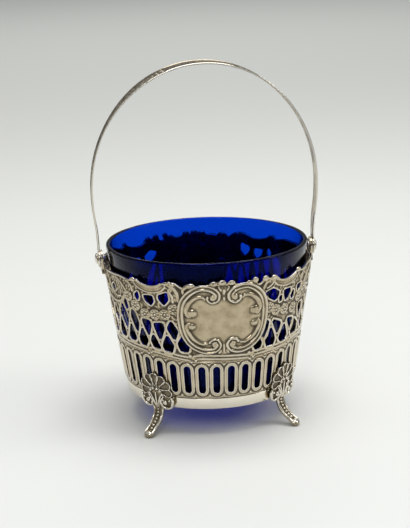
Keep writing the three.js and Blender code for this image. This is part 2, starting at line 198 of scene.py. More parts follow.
def beadWork(beads, detail=2, lift=0.0, stretch=1.0):
    # Beads and leaves: x, y, half length, half width, height, turn in degrees
    work = bmesh.new()
    for x, y, length, width, height, turn in beads:
        placed = Matrix.Translation((x, y, 0)) @ Matrix.Rotation(math.radians(turn), 4, "Z")
        bmesh.ops.create_icosphere(
            work, subdivisions=detail, radius=1, matrix=placed @ Matrix.Diagonal((length, width, height, 1)))
    mesh = meshFrom("beads", work)
    mesh.transform(Matrix.Translation((0, 0, lift)) @ Matrix.Diagonal((1, 1, stretch, 1)))
    if stretch < 0:
        mesh.flip_normals()
    return mesh


def readAll(items, what, wide=1, kind=np.float32):
    values = np.empty(len(items) * wide, kind)
    items.foreach_get(what, values)
    return values.reshape(-1, wide) if wide > 1 else values


def coordinates(mesh, what="co"):
    return readAll(mesh.vertices, what, 3).astype(float)


def moveTo(mesh, points):
    mesh.vertices.foreach_set("co", np.asarray(points, np.float32).ravel())
    mesh.update()


def markHollows(mesh, rounds, gain, ground=0.0, low=0.0, high=0.5, worked=0.0):
    # How far each point lies under its softened surroundings, kept as an attribute for the tarnish and the
    # painted shade of the hollows; busy relief and low ground raise it as well, for more tarnish and painted
    # shade there
    points, normals = coordinates(mesh), coordinates(mesh, "normal")
    count = len(points)
    edges = readAll(mesh.edges, "vertices", 2, np.int32)
    here, there = np.concatenate([edges, edges[:, ::-1]]).T
    near = np.maximum(np.bincount(here, minlength=count), 1)
    soft = points.copy()
    for _ in range(rounds):
        soft = np.column_stack([np.bincount(here, soft[there, i], count) for i in range(3)]) / near[:, None]
    depth = ((soft - points) * normals).sum(1)
    busy = np.abs(depth)
    for _ in range(rounds if worked else 0):
        busy = np.bincount(here, busy[there], count) / near
    depth = gain * depth + worked * busy + ground * (0.5 - smoothStep(points[:, 2], low, high))
    hollow = mesh.attributes.new("hollow", "FLOAT", "POINT")
    hollow.data.foreach_set("value", np.clip(0.5 + depth, 0, 1).astype(np.float32))


def joinMeshes(name, meshes):
    work = bmesh.new()
    for mesh in meshes:
        work.from_mesh(mesh)
        bpy.data.meshes.remove(mesh)
    return meshFrom(name, work)


def fuse(name, meshes, voxel, softening):
    # One skin over all the parts, as the die leaves it
    thing = linkNew(name, joinMeshes(name, meshes))
    remesh = thing.modifiers.new("skin", "REMESH")
    remesh.mode = "VOXEL"
    remesh.voxel_size = voxel
    soften = thing.modifiers.new("soften", "SMOOTH")
    soften.factor = 0.5
    soften.iterations = softening
    mesh = meshOf(thing)
    bpy.data.objects.remove(thing)
    return mesh


def thinOut(name, mesh, triangles):
    # Fewer triangles that keep the shading of the full skin
    thing = linkNew(name, mesh)
    count = 2 * len(mesh.polygons)
    if count > triangles:
        facing = mesh.attributes.new("facing", "FLOAT_VECTOR", "POINT")
        facing.data.foreach_set("vector", coordinates(mesh, "normal").astype(np.float32).ravel())
        fewer = thing.modifiers.new("fewer", "DECIMATE")
        fewer.ratio = triangles / count
        lighter = meshOf(thing)
        thing.modifiers.clear()
        thing.data = lighter
        lighter.shade_smooth()
        kept = readAll(lighter.attributes["facing"].data, "vector", 3)
        kept /= np.maximum(np.linalg.norm(kept, axis=1)[:, None], 1e-6)
        lighter.normals_split_custom_set_from_vertices(kept)
        lighter.attributes.remove(lighter.attributes["facing"])
    else:
        thing.data.shade_smooth()
    thing.data.name = name
    return thing


def turnedCopy(name, thing):
    # The same piece on the other side of the basket
    copy = linkNew(name, thing.data.copy())
    copy.data.transform(Matrix.Rotation(math.pi, 4, "Z"))
    return copy


def dress(thing, node, material, body="basket"):
    thing.data.materials.clear()
    thing.data.materials.append(material)
    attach(thing, body)
    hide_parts(node)


print("camera and stage")
view = {
    "place": Vector((-109.6, -742.1, 278.1)) * mm,
    "target": Vector((-1.16, 0.17, 82.4)) * mm,
    "roll": -1.67,
    "lens": 96.6,
    "sensor": 36,
    "nearest": 0.05,
}


def makeCamera():
    data = bpy.data.cameras.new("camera")
    data.lens = view["lens"]
    data.sensor_width = view["sensor"]
    data.clip_start = view["nearest"]
    camera = linkNew("camera", data)
    aim = (view["target"] - view["place"]).to_track_quat("-Z", "Y").to_matrix().to_4x4()
    camera.matrix_world = (
        Matrix.Translation(view["place"]) @ aim @ Matrix.Rotation(math.radians(view["roll"]), 4, "Z"))
    scene.camera = camera


makeCamera()

stage = {
    "halfWidth": 6.0,
    "near": -4.0,
    "far": 7.0,
    # Colour of the paper along y in metres, painted shade: palest just behind the basket, a little darker in
    # front and darker towards the far end
    "tones": [(-0.35, (0.77, 0.78, 0.76)), (0.5, (0.82, 0.83, 0.80)), (3.2, (0.66, 0.675, 0.645))],
    "surface": {"Roughness": 0.55, "Specular IOR Level": 0.25},
}


def fill(tree, node, values):
    # Inputs by name or place, each linked to an output or set to a plain value
    for name, value in values.items():
        if isinstance(value, bpy.types.NodeSocket):
            tree.links.new(value, node.inputs[name])
        else:
            node.inputs[name].default_value = value
    return node


def addNode(tree, kind, values):
    return fill(tree, tree.nodes.new("ShaderNode" + kind), values)


def newMaterial(name):
    material = bpy.data.materials.new(name)
    material.use_nodes = True
    return material, material.node_tree, material.node_tree.nodes["Principled BSDF"]


def axisOf(tree, coordinates, axis):
    place = tree.nodes.new("ShaderNodeTexCoord")
    return addNode(tree, "SeparateXYZ", {0: place.outputs[coordinates]}).outputs[axis]


def toneRamp(tree, value, tones):
    # Colours along a value, each given with its place
    first, last = tones[0][0], tones[-1][0]
    reach = addNode(tree, "MapRange", {"Value": value, "From Min": first, "From Max": last})
    ramp = addNode(tree, "ValToRGB", {0: reach.outputs[0]})
    for i, (place, tone) in enumerate(tones):
        share = (place - first) / (last - first)
        stop = ramp.color_ramp.elements[i] if i < 2 else ramp.color_ramp.elements.new(share)
        stop.position = share
        stop.color = (*tone, 1)
    return ramp.outputs[0]


def makeFloor():
    work = bmesh.new()
    bmesh.ops.create_grid(work, x_segments=1, y_segments=1, size=1)
    near, far = stage["near"], stage["far"]
    bmesh.ops.scale(work, vec=(stage["halfWidth"], (far - near) / 2, 1), verts=work.verts)
    bmesh.ops.translate(work, vec=(0, (near + far) / 2, 0), verts=work.verts)
    floor = linkNew("floor", meshFrom("floor", work))
    paper, tree, surface = newMaterial("paper")
    colour = toneRamp(tree, axisOf(tree, "Object", "Y"), stage["tones"])
    fill(tree, surface, {**stage["surface"], "Base Color": colour})
    floor.data.materials.append(paper)


makeFloor()

studio = {
    "lamps": {
        "above": {"place": (0.1, 0.0, 1.3), "aim": (0, 0, 0.08), "size": 0.9, "power": 12.0},
        "front": {"place": (-0.4, -1.25, 0.95), "aim": (0, 0, 0.08), "size": 0.5, "power": 3.2},
        "side": {"place": (1.1, -0.3, 0.8), "aim": (0, 0, 0.08), "size": 0.5, "power": 2.8},
        "far": {"place": (0.3, 2.2, 1.7), "aim": (0.2, 2.8, 0), "size": 1.4, "power": 14.2},
    },
    "sky": [(-0.1, (0.37, 0.375, 0.37)), (0.05, (0.23, 0.235, 0.23)), (0.22, (0.13, 0.132, 0.132)),
            (0.45, (0.37, 0.375, 0.37)), (0.75, (0.46, 0.465, 0.46)), (1.0, (0.36, 0.365, 0.36))],
}


def makeLights():
    for name, lamp in studio["lamps"].items():
        data = bpy.data.lights.new(name, "AREA")
        data.size = lamp["size"]
        data.energy = lamp["power"]
        light = linkNew(name, data)
        light.location = lamp["place"]
        light.rotation_mode = "QUATERNION"
        light.rotation_quaternion = (Vector(lamp["aim"]) - Vector(lamp["place"])).to_track_quat("-Z", "Y")
    world = scene.world or bpy.data.worlds.new("studio")
    scene.world = world
    world.use_nodes = True
    tree = world.node_tree
    sky = toneRamp(tree, axisOf(tree, "Generated", "Z"), studio["sky"])
    fill(tree, tree.nodes["Background"], {"Color": sky})


makeLights()
scene.view_settings.view_transform = "Standard"
scene.view_settings.look = "None"

print("materials")


def makeGroup(name, sockets):
    group = bpy.data.node_groups.new(name, "ShaderNodeTree")
    for socket, kind, direction, value in sockets:
        made = group.interface.new_socket(name=socket, in_out=direction, socket_type=kind)
        if value is not None:
            made.default_value = value
    return group, group.nodes.new("NodeGroupInput"), group.nodes.new("NodeGroupOutput")


def mathNode(tree, operation, *values, clamp=False):
    node = addNode(tree, "Math", dict(enumerate(values)))
    node.operation = operation
    node.use_clamp = clamp
    return node.outputs[0]


def mixNode(tree, share, first, second):
    node = tree.nodes.new("ShaderNodeMix")
    node.data_type = "RGBA"
    return fill(tree, node, {0: share, 6: first, 7: second}).outputs[2]


def mapNode(tree, value, first, last, most=1.0, kind="LINEAR"):
    reach = {"Value": value, "From Min": first, "From Max": last, "To Max": most}
    node = addNode(tree, "MapRange", reach)
    node.interpolation_type = kind
    return node.outputs[0]


oldLook = {
    "cloud": (190, 4),  # noise: scale and detail
    "speck": (700, 5),
    "grain": (4200, 2),
    "grainHeight": 0.08,
    "markDepth": 0.0002,
    "uneven": 0.35,
    "tarnishAndShade": (0.53, 1.0),  # hollow where it begins and where it is full
    # Dark colour of the hollows: tarnish, and painted shade where the relief shades itself
    "tarnishAndShadeColour": (0.065, 0.048, 0.025, 1),
    "tarnishRoughness": 0.3,
    "tarnishDullness": 0.55,
    "stain": (0.44, 0.74, 0.55),  # from, to, and how strong at most
    "stainCloud": 0.85,
    "stainSpeck": 0.2,
    "stainColour": (0.27, 0.195, 0.095, 1),
    # Lighter colour on the ridges: rubbed wear and a painted highlight
    "rubbedHighlight": (0.46, 0.2, 0.7),
    "rubbedHighlightColour": (0.9, 0.87, 0.79, 1),
    "film": 0.12,
}


def makeOldSilver():
    # Colour, roughness and fine marks of worn silver plate, dark in its hollows with tarnish and painted
    # shade, and lighter on its ridges with rubbed wear and a painted highlight
    group, start, end = makeGroup("oldSilver", [
        ("Metal", "NodeSocketColor", "INPUT", (0.5, 0.42, 0.28, 1)),
        ("Hollow", "NodeSocketFloat", "INPUT", 0.5),
        ("TarnishAndShade", "NodeSocketFloat", "INPUT", 1.0),
        ("Polish", "NodeSocketFloat", "INPUT", 0.25),
        ("Color", "NodeSocketColor", "OUTPUT", None),
        ("Roughness", "NodeSocketFloat", "OUTPUT", None),
        ("Metallic", "NodeSocketFloat", "OUTPUT", None),
        ("Height", "NodeSocketFloat", "OUTPUT", None),
    ])
    given, look = start.outputs, oldLook
    place = group.nodes.new("ShaderNodeTexCoord").outputs["Object"]
    cloud, speck, grain = (
        addNode(group, "TexNoise", {"Vector": place, "Scale": scale, "Detail": detail}).outputs["Fac"]
        for scale, detail in (look["cloud"], look["speck"], look["grain"]))
    uneven = mathNode(group, "MULTIPLY_ADD", cloud, look["uneven"], given["Hollow"])
    shifted = mathNode(group, "SUBTRACT", uneven, look["uneven"] / 2)
    # Tarnish and painted shade: the deeper the hollow, the more the colour goes to the dark tone
    depth = mapNode(group, shifted, *look["tarnishAndShade"], kind="SMOOTHSTEP")
    dark = mathNode(group, "MULTIPLY", depth, given["TarnishAndShade"], clamp=True)
    clouds = mathNode(group, "MULTIPLY", cloud, look["stainCloud"])
    patches = mathNode(group, "MULTIPLY_ADD", speck, look["stainSpeck"], clouds)
    worn = mixNode(group, mapNode(group, patches, *look["stain"]), given["Metal"], look["stainColour"])
    # Rubbed wear and painted highlight: ridges go towards the lighter colour
    bright = mixNode(group, mapNode(group, given["Hollow"], *look["rubbedHighlight"]), worn, look["rubbedHighlightColour"])
    film = mathNode(group, "MULTIPLY_ADD", cloud, look["film"], given["Polish"])
    fill(group, end, {
        "Color": mixNode(group, dark, bright, look["tarnishAndShadeColour"]),
        "Roughness": mathNode(group, "MULTIPLY_ADD", dark, look["tarnishRoughness"], film),
        "Metallic": mathNode(group, "MULTIPLY_ADD", dark, -look["tarnishDullness"], 1.0),
        "Height": mathNode(group, "MULTIPLY_ADD", grain, look["grainHeight"], speck),
    })
    return group


oldSilver = makeOldSilver()


def makeSilver(name, metal, tarnishAndShade, polish, bump):
    material, tree, surface = newMaterial(name)
    hollow = tree.nodes.new("ShaderNodeAttribute")
    hollow.attribute_name = "hollow"
    finish = tree.nodes.new("ShaderNodeGroup")
    finish.node_tree = oldSilver
    fill(tree, finish, {
        "Metal": (*metal, 1),
        "Hollow": hollow.outputs["Fac"],
        "TarnishAndShade": tarnishAndShade,
        "Polish": polish,
    })
    height = finish.outputs["Height"]
    marks = addNode(tree, "Bump", {"Strength": bump, "Distance": oldLook["markDepth"], "Height": height})
    fill(tree, surface, {
        "Base Color": finish.outputs["Color"],
        "Roughness": finish.outputs["Roughness"],
        "Metallic": finish.outputs["Metallic"],
        "Normal": marks.outputs["Normal"],
    })
    return material


# Metal colour, strength of the tarnish and painted shade in the hollows, polish and strength of the marks
struckSilver = makeSilver("struckSilver", (0.495, 0.415, 0.285), 1.0, 0.02, 0.26)
wornSilver = makeSilver("wornSilver", (0.46, 0.39, 0.28), 1.0, 0.04, 0.24)
plainSilver = makeSilver("plainSilver", (0.68, 0.56, 0.36), 0.6, 0.08, 0.1)

cobalt = {
    # The liner's thick floor and low wall are coloured darker than its rim, the floor for its thicker glass
    # and the low wall as painted shade inside the silver: height in metres, colour
    "tones": [(0.024, (0.0001, 0.008, 0.2)), (0.062, (0.0003, 0.018, 0.3)), (0.084, (0.0006, 0.04, 0.56))],
    "surface": {"Roughness": 0.02, "IOR": 1.5, "Transmission Weight": 1.0,
                "Specular Tint": (0.04, 0.08, 0.42, 1)},
    "shadow": (0.004, 0.012, 0.26, 1),
    "ripple": 60,
    "wave": {"Strength": 0.06, "Distance": 0.001},
}


def makeBlueGlass():
    material, tree, surface = newMaterial("cobaltGlass")
    place = tree.nodes.new("ShaderNodeTexCoord").outputs["Object"]
    ripple = addNode(tree, "TexNoise", {"Vector": place, "Scale": cobalt["ripple"]})
    wave = addNode(tree, "Bump", {**cobalt["wave"], "Height": ripple.outputs["Fac"]})
    colour = toneRamp(tree, axisOf(tree, "Object", "Z"), cobalt["tones"])
    fill(tree, surface, {**cobalt["surface"], "Base Color": colour, "Normal": wave.outputs["Normal"]})
    passing = addNode(tree, "BsdfTransparent", {"Color": cobalt["shadow"]}).outputs[0]
    ray = tree.nodes.new("ShaderNodeLightPath").outputs["Is Shadow Ray"]
    mix = addNode(tree, "MixShader", {0: ray, 1: surface.outputs[0], 2: passing})
    fill(tree, tree.nodes["Material Output"], {"Surface": mix.outputs[0]})
    return material


cobaltGlass = makeBlueGlass()

print("wall panels")
panel = {
    "slotPitch": 9.0,
    "slotWidth": 3.75,
    "slotFoot": 24.6,
    "slotTop": 39.8,
    "frame": {"inner": 0.05, "outer": 1.85, "height": 0.6, "edge": 0.22},
    "rooted": -0.2,
    "rise": 3.0,
    "rises": (15, 58),
    "joint": 42.7,
    "overlap": 0.15,
    "earDip": 3.0,
    "earSide": 87.4,
    "opened": {"low": 0.6, "high": 0.6, "top": 0.25},
    "rimWidth": {"low": 1.3, "high": 1.3, "top": 0.95},
    "rim": {"inner": 0.04, "height": 0.55, "edge": 0.2},
    "hammering": 0.035,
    "waves": ((1.21, 0.7, 0.9), (1.13, 0.6, 0.8)),
    "hollows": {"gain": 3.0, "ground": 0.12, "worked": 1.5},
    "voxel": 0.24,
    "triangles": 190000,
}
panelEnd = 90 * perDegree - wall["solderGap"] / 2


def riseAt(angle):
    # The slots, their border and the lattice's foot stand higher towards the hinges
    return panel["rise"] * smoothStep(abs(angle), *panel["rises"])


def arc(x, y, radius, start, end, steps=8):
    turn = np.radians(np.linspace(start, end, steps + 1))
    return np.column_stack([x + radius * np.cos(turn), y + radius * np.sin(turn)])


def circle(x, y, radius, points=36):
    return arc(x, y, radius, 0, 360 - 360 / points, points - 1)


def stadium(x, foot, top, width):
    radius = width / 2
    return np.vstack([arc(x, top - radius, radius, 0, 180), arc(x, foot + radius, radius, 180, 360)])


def dropShape(x, roundEnd, point, radius):
    # Round at one height and pointed at the other, above or below it
    up = math.copysign(1, point - roundEnd)
    middle = roundEnd + up * radius
    lean = math.degrees(math.asin(min(radius / abs(point - middle), 0.95)))
    start = 180 - lean if up > 0 else -lean
    return np.vstack([[[x, point]], arc(x, middle, radius, start, start + 180 + 2 * lean, 12)])


def withWidth(outline, width):
    return np.column_stack([outline, np.full(len(outline), width)])


def roundCorners(knots, cuts=(0.09, 0.25)):
    # A closed outline with its corners cut back to soft ones
    points = np.asarray(knots, float)
    for cut in cuts:
        after = np.roll(points, -1, axis=0)
        ends = [(1 - cut) * points + cut * after, cut * points + (1 - cut) * after]
        points = np.stack(ends, axis=1).reshape(-1, 2)
    return points


def beside(line, away, closed=False):
    # The same line moved sideways to its left, or to its right if away is negative
    points = np.asarray(line, float)
    if closed:
        way = np.roll(points, -1, axis=0)[:, :2] - np.roll(points, 1, axis=0)[:, :2]
    else:
        way = np.gradient(points[:, :2], axis=0)
    way /= np.maximum(np.linalg.norm(way, axis=1)[:, None], 1e-6)
    moved = points.copy()
    moved[:, 0] -= way[:, 1] * away
    moved[:, 1] += way[:, 0] * away
    return moved


def ridges(line, places):
    # Wires beside a line, each given as its distance and width
    return [withWidth(beside(line, away)[:, :2], width) for away, width in places]


def outwards(outline, away):
    x, y = outline[:, 0], outline[:, 1]
    area = (x * np.roll(y, -1) - np.roll(x, -1) * y).sum()
    return beside(outline, -math.copysign(away, area), True)


def pearl(x, y, radius, height):
    return x, y, radius, radius, height, 0


def flower(x, y, turns, reach, *petal):
    return [(x + reach * math.cos(turn), y + reach * math.sin(turn), *petal, math.degrees(turn))
            for turn in turns]


def slotAngles():
    return [-90 + panel["slotPitch"] * (i + 0.5) for i in range(round(180 / panel["slotPitch"]))]


def slotOutlines(margin):
    return [stadium(a * perDegree, panel["slotFoot"] - margin, panel["slotTop"] + riseAt(a) + margin,
                    panel["slotWidth"] + 2 * margin) for a in slotAngles()]


def slotFrames():
    look = panel["frame"]
    outlines = [*slotOutlines(look["inner"]), *slotOutlines(look["outer"])]
    return flatWork(outlines, panel["rooted"], look["height"], look["edge"])


trim = {
    "first": 28.4,
    "last": 36.6,
    "pitch": 1.15,
    "bead": (0.33, 0.38, 0.42, 0),
    # Knobs and flecks between the frames' ends: 0 below or 1 above, x, y, half sizes, height, turn
    "corners": [(0, 0, 23, 0.75, 1.05, 0.5, 0), (1, 0, 41.1, 0.85, 0.85, 0.5, 0),
                (0, -0.8, 22.4, 0.75, 0.34, 0.42, 30), (1, -0.8, 41.6, 0.75, 0.34, 0.42, -30),
                (0, 0.8, 22.4, 0.75, 0.34, 0.42, -30), (1, 0.8, 41.6, 0.75, 0.34, 0.42, 30)],
}


def slotTrim():
    # A chain of small beads between every two frames, with a knob and two flecks at either end
    beads = []
    for i in range(1, len(slotAngles())):
        angle = -90 + panel["slotPitch"] * i
        x, rise = angle * perDegree, riseAt(angle)
        beads += [(x, y, *trim["bead"]) for y in np.arange(trim["first"], trim["last"] + rise, trim["pitch"])]
        beads += [(x + away, y + above * rise, *shape) for above, away, y, *shape in trim["corners"]]
    return beads


def jointLine(lift=0.0):
    angles = np.linspace(-90, 90, 61)
    ends = np.clip(angles * perDegree, -panelEnd, panelEnd)
    return np.column_stack([ends, panel["joint"] + riseAt(angles) + lift])


# Openings of the lattice and of the crest, corner by corner: degrees and height
openings = {
    "low": [
        [(-23.5, 57), (-20.4, 53.4), (-21, 48.9), (-24.8, 49.1), (-26.4, 52.8)],
        [(-33, 56.9), (-29.7, 51.4), (-31, 47.9), (-34.4, 47.9), (-36.1, 51)],
        [(-42, 56.4), (-43.9, 53.2), (-42.4, 49.6), (-38.1, 49)],
        [(-49.7, 59.3), (-46.8, 52.6), (-48.6, 49.9), (-51.6, 50), (-53, 52.5)],
        [(-59, 60.3), (-56.2, 52.4), (-57.5, 51.2), (-61.2, 51.2), (-62.6, 52.4)],
        [(-69.5, 62.4), (-66.2, 52.6), (-67.6, 51.5), (-71.6, 51.6), (-73.2, 53)],
        [(-80.4, 61.6), (-77.2, 53.4), (-78.8, 51.8), (-82, 51.8), (-83.8, 53.6)],
        [(18.4, 50.2), (19.4, 52.6), (21.8, 52.7), (23.2, 50.4), (22, 47.9), (19.6, 47.8)],
        [(29.5, 58), (33.2, 51), (31.4, 47.2), (28.2, 47.1), (26.4, 50.8)],
        [(40.6, 57.9), (44.1, 50.8), (42.4, 48.6), (38.6, 48.6), (37, 50.6)],
        [(50.6, 58.2), (56.2, 54.4), (55.2, 50), (50.6, 48.8), (48.4, 51.8)],
        [(62.6, 59.8), (67.4, 54.2), (65.6, 51.2), (62.4, 51.2), (60.8, 54)],
        [(73.4, 61.6), (77.2, 54.4), (75.6, 51.8), (72, 51.8), (70.4, 54)],
        [(83.6, 61.6), (86.8, 54.4), (85.4, 51.8), (82.2, 51.8), (80.6, 54)],
    ],
    "high": [
        [(-29.8, 65), (-26.4, 59.9), (-28.4, 55.1), (-32.1, 61.2)],
        [(-40.9, 62.9), (-35.2, 63.4), (-34.6, 60.8), (-37.6, 54.2)],
        [(-48.9, 64.4), (-43.5, 63.9), (-43.3, 61.3), (-45.4, 55.7)],
        [(-56.2, 68.2), (-54.3, 67.4), (-52.2, 61.4), (-54, 56.4), (-57.7, 64.8)],
        [(-65, 70.3), (-61, 63.1), (-63.8, 56.2), (-68.8, 65.3)],
        [(-62.8, 73.5), (-60.3, 73), (-59.6, 69), (-61.2, 68.6)],
        [(-75.2, 67.6), (-71.8, 62.4), (-74.6, 57.4), (-77.6, 62.8)],
        [(-85.6, 67), (-83, 62.4), (-85.2, 57.6), (-88, 62.8)],
        [(25.5, 62.4), (27.5, 61.6), (25.7, 53.6), (23.2, 54.6)],
        [(30.5, 61.9), (37.2, 59.2), (34.9, 53.8)],
        [(43, 60), (48.2, 59.2), (48.7, 56.8), (47.3, 53.6)],
        [(54.2, 65.8), (59.4, 65.5), (58.8, 61.8), (56.8, 58.2)],
        [(65.8, 68), (69, 62.6), (66.4, 57), (63.4, 62.8)],
        [(77.8, 67.6), (80.6, 62.6), (78.4, 57.4), (75.2, 62.8)],
    ],
    "top": [
        [(-30.5, 81.2), (-30.2, 77.2), (-33, 74.2), (-35.7, 77.2), (-35.8, 79.2)],
        [(-45.5, 78.3), (-39.6, 78.6), (-39.3, 75.5), (-41.2, 73.4), (-44.2, 75.2)],
        [(-51.8, 77.8), (-49.4, 79.8), (-48.9, 77), (-50, 75.1), (-51.7, 76.4)],
        [(-73.9, 78.5), (-70.5, 80.3), (-69.6, 77.1), (-72, 76.5)],
        [(24.2, 78.5), (29, 79.8), (33.6, 77.3), (32.8, 74.2), (30.6, 73.2), (26.5, 75.4)],
        [(34, 74.4), (35.9, 74.8), (36.1, 72), (34.7, 71.6)],
        [(37.3, 77.2), (42.8, 77.4), (43.4, 75.5), (41.8, 73.2), (39.3, 71.4), (38, 74.4)],
        [(45.7, 75.7), (46.9, 74.7), (46.9, 72), (44.8, 71.4), (43.8, 73)],
        [(50.1, 77.5), (55.1, 77.7), (53, 74.9), (51.1, 73.9), (49.8, 76)],
        [(70.4, 80), (73.8, 78.4), (72, 76.4), (69.6, 77.1)],
    ],
}


def openingOutlines():
    return [outwards(roundCorners(onWall(corners)), panel["opened"][name])
            for name, group in openings.items() for corners in group]


def openingRims():
    rim = panel["rim"]
    widths = [panel["rimWidth"][name] for name, group in openings.items() for corners in group]
    return [flatWork([outwards(outline, rim["inner"]), outwards(outline, width)],
                     panel["rooted"], rim["height"], rim["edge"])
            for outline, width in zip(openingOutlines(), widths)]


# Upper edge of the wall from left to right: degrees and height
topEdge = [
    (-82, 86), (-72, 86.3), (-62, 86.5), (-55.5, 85.6), (-51, 86.9), (-47.5, 85.6), (-44, 84.6),
    (-40.5, 84.3), (-37, 84.8), (-34, 86), (-31.6, 86.7), (-29.5, 86), (-27, 87), (-24.4, 86), (-22, 84.6),
    (-20, 85.9), (-17.6, 86.4), (-15, 85.3), (-12, 85.6), (-8.5, 86), (-5.4, 87), (-3, 86.2), (-0.8, 87.2),
    (1.4, 86.3), (4, 87.1), (6.6, 86), (11, 85.3), (15.4, 86.6), (18, 85), (20, 84.3), (22.8, 86),
    (25.4, 85.2), (28.6, 86.6), (31.6, 85.2), (35, 84), (39, 83.7), (43.4, 84.4), (48.6, 86.3), (54, 85.4),
    (62, 87), (72, 87.5), (82, 87),
]


def friezeOutline():
    dip, side = hingeHeight - panel["earDip"], panel["earSide"] * perDegree
    upper = smoothLine(onWall(topEdge[::-1]), 4)
    right, left = [[panelEnd, dip], [side, dip]], [[-side, dip], [-panelEnd, dip]]
    return np.vstack([jointLine(-panel["overlap"]), right, upper, left])


def galleryOutline():
    return np.vstack([[[-panelEnd, wall["foot"]], [panelEnd, wall["foot"]]], jointLine()[::-1]])


border = {
    # Each stretch rises from an eye at its left and dips under the next one at its right: degrees
    "stretches": [(-89.5, -47), (-45.8, -19), (-17.2, 16.4), (17.8, 45.4), (46.6, 89.5)],
    "middle": 44.7,
    "points": 15,
    "swell": 1.1,
    "swells": (-0.2, 0.25),
    "dip": 0.5,
    "reeds": [(1.05, 1.5), (-0.8, 1.75)],
    "eye": {"radius": 1.25, "turns": 1.0, "steps": 12, "taper": 0.3},
    "lastEye": 85,
    "knobs": [(0, 0.5, -1), (1, -0.9, 1.5), (1, -0.4, -1.9)],
    "knob": (1, 0.95, 0.95, 0),
}


def borderLines():
    lines = []
    for first, last in border["stretches"]:
        shares = np.linspace(0, 1, border["points"])
        angles = first + (last - first) * shares
        swell = border["swell"] * (1 - shares) * smoothStep(shares, *border["swells"])
        middle = border["middle"] + riseAt(angles) + swell - border["dip"] * shares
        for offset, width in border["reeds"]:
            line = withWidth(np.column_stack([angles * perDegree, middle + offset]), width)
            if offset > 0 and abs(first) < border["lastEye"]:
                line = windIn(line[::-1], 1, **border["eye"])[::-1]
            lines.append(line)
    return lines


def borderKnobs():
    return [(ends[i] * perDegree + x, border["middle"] + riseAt(ends[i]) + y, *border["knob"])
            for ends in border["stretches"] for i, x, y in border["knobs"]
            if abs(ends[i]) < border["lastEye"]]


# Scrolls and leaves, drawn on the left half in degrees, height and width, and mirrored
cartouche = {
    "outer": [(-7, 80, 1.3), (-7.9, 78.4, 1.9), (-6.1, 76.9, 2.4), (-3.9, 78.2, 2.6), (-3.7, 80.9, 2.6),
              (-6, 83.3, 2.6), (-9.8, 84.4, 2.8), (-14.1, 84, 3), (-19, 81, 3.1), (-22.4, 76.6, 3.1),
              (-23.9, 71.2, 3.1), (-24.1, 65.9, 3.1), (-23.1, 59.6, 3.1), (-20.8, 54.8, 3),
              (-17.1, 51.4, 2.9), (-12.3, 49.3, 2.8), (-8, 48.9, 2.7), (-4.6, 49.9, 2.6), (-2.9, 52.2, 2.5),
              (-4.4, 54.5, 2.3), (-6.9, 54, 1.9), (-7.2, 52.4, 1.4)],
    "shoulder": [(-9.9, 78, 1.3), (-11.8, 79.4, 1.9), (-15.2, 78.9, 2.3), (-18.8, 76, 2.6),
                 (-20.6, 72.4, 2.6), (-20.4, 70.2, 2.4), (-19.4, 68.7, 2.1), (-17.6, 69.2, 1.6)],
    "lower": [(-9.6, 53.4, 1.3), (-12.6, 53.2, 2), (-16.8, 55.6, 2.5), (-19.8, 59.6, 2.6),
              (-20.9, 62.2, 2.2), (-20.2, 64.2, 1.9), (-18.4, 64, 1.5)],
    "ridges": [(-0.95, 1.2), (1, 1.5)],
    "ridgeEnd": 3,
    "field": [(-5.6, 82.6), (-9.8, 84), (-14.1, 83.6), (-19, 80.6), (-22, 76.4), (-23.5, 71.2),
              (-23.7, 65.9), (-22.7, 59.6), (-20.4, 55), (-17, 51.8), (-12.3, 50), (-8, 49.6), (0, 50.4)],
    "fieldTop": (0, 81.6),
    "fieldLow": -0.3,
    "fieldHeight": 0.34,
    # Palmette over the field and a bud under it, in millimetres like all beads
    "middle": [(0, 50.4, 3.6, 0.8, 1.1, 90), (0, 82.4, 2.3, 1, 1.2, 90), (0, 78.4, 1.7, 0.6, 0.9, 90),
               (0, 83.2, 4.2, 2.4, 0.6, 0), (0, 48.4, 3.6, 1.6, 0.55, 0)],
    # Their side leaves and the eyes of the scrolls; the last number leans away from the middle
    "sides": [(1.9, 83.6, 1.9, 0.75, 1.05, 90, -24), (1.9, 48.7, 1.9, 0.7, 0.95, 90, 32),
              (5.3, 79.4, 1.5, 1.4, 1.35, 0, 0), (4.8, 52.2, 1.5, 1.4, 1.3, 0, 0),
              (15.8, 70.4, 2.7, 2.6, 1.5, 0, 0), (16.2, 63, 2.2, 2.1, 1.4, 0, 0)],
}


def cartoucheRidges():
    # A ridge along either edge of the outer band
    end = cartouche["ridgeEnd"]
    return [wire for line in bothSides(cartouche["outer"])
            for wire in ridges(line[end:-end], cartouche["ridges"])]


def fieldOutline():
    left = cartouche["field"]
    return smoothLine(onWall([cartouche["fieldTop"], *left, *onSide(left[-2::-1], -1)]), 5, True)


def cartoucheLeaves():
    return cartouche["middle"] + [(side * x, *shape, turn + side * lean)
                                  for side in (-1, 1) for x, *shape, turn, lean in cartouche["sides"]]


garland = {
    "roses": [(-27.6, 72.1), (-33.2, 68.7), (-39.4, 68.2), (-46, 67.9), (-52.6, 71.6), (-57.8, 76),
              (27.2, 69.6), (32.4, 67.4), (39.2, 66.6), (47.2, 65.6), (53, 70.6), (58.4, 75)],
    "roseRadius": 2.7,
    "petals": 7,
    "petalReach": 0.66,
    "petal": (0.3, 0.34, 0.95),
    "middle": [(0.27, 1.25), (1.05, 0.5)],
    "turn": 17,
    "ring": 0.7,
}


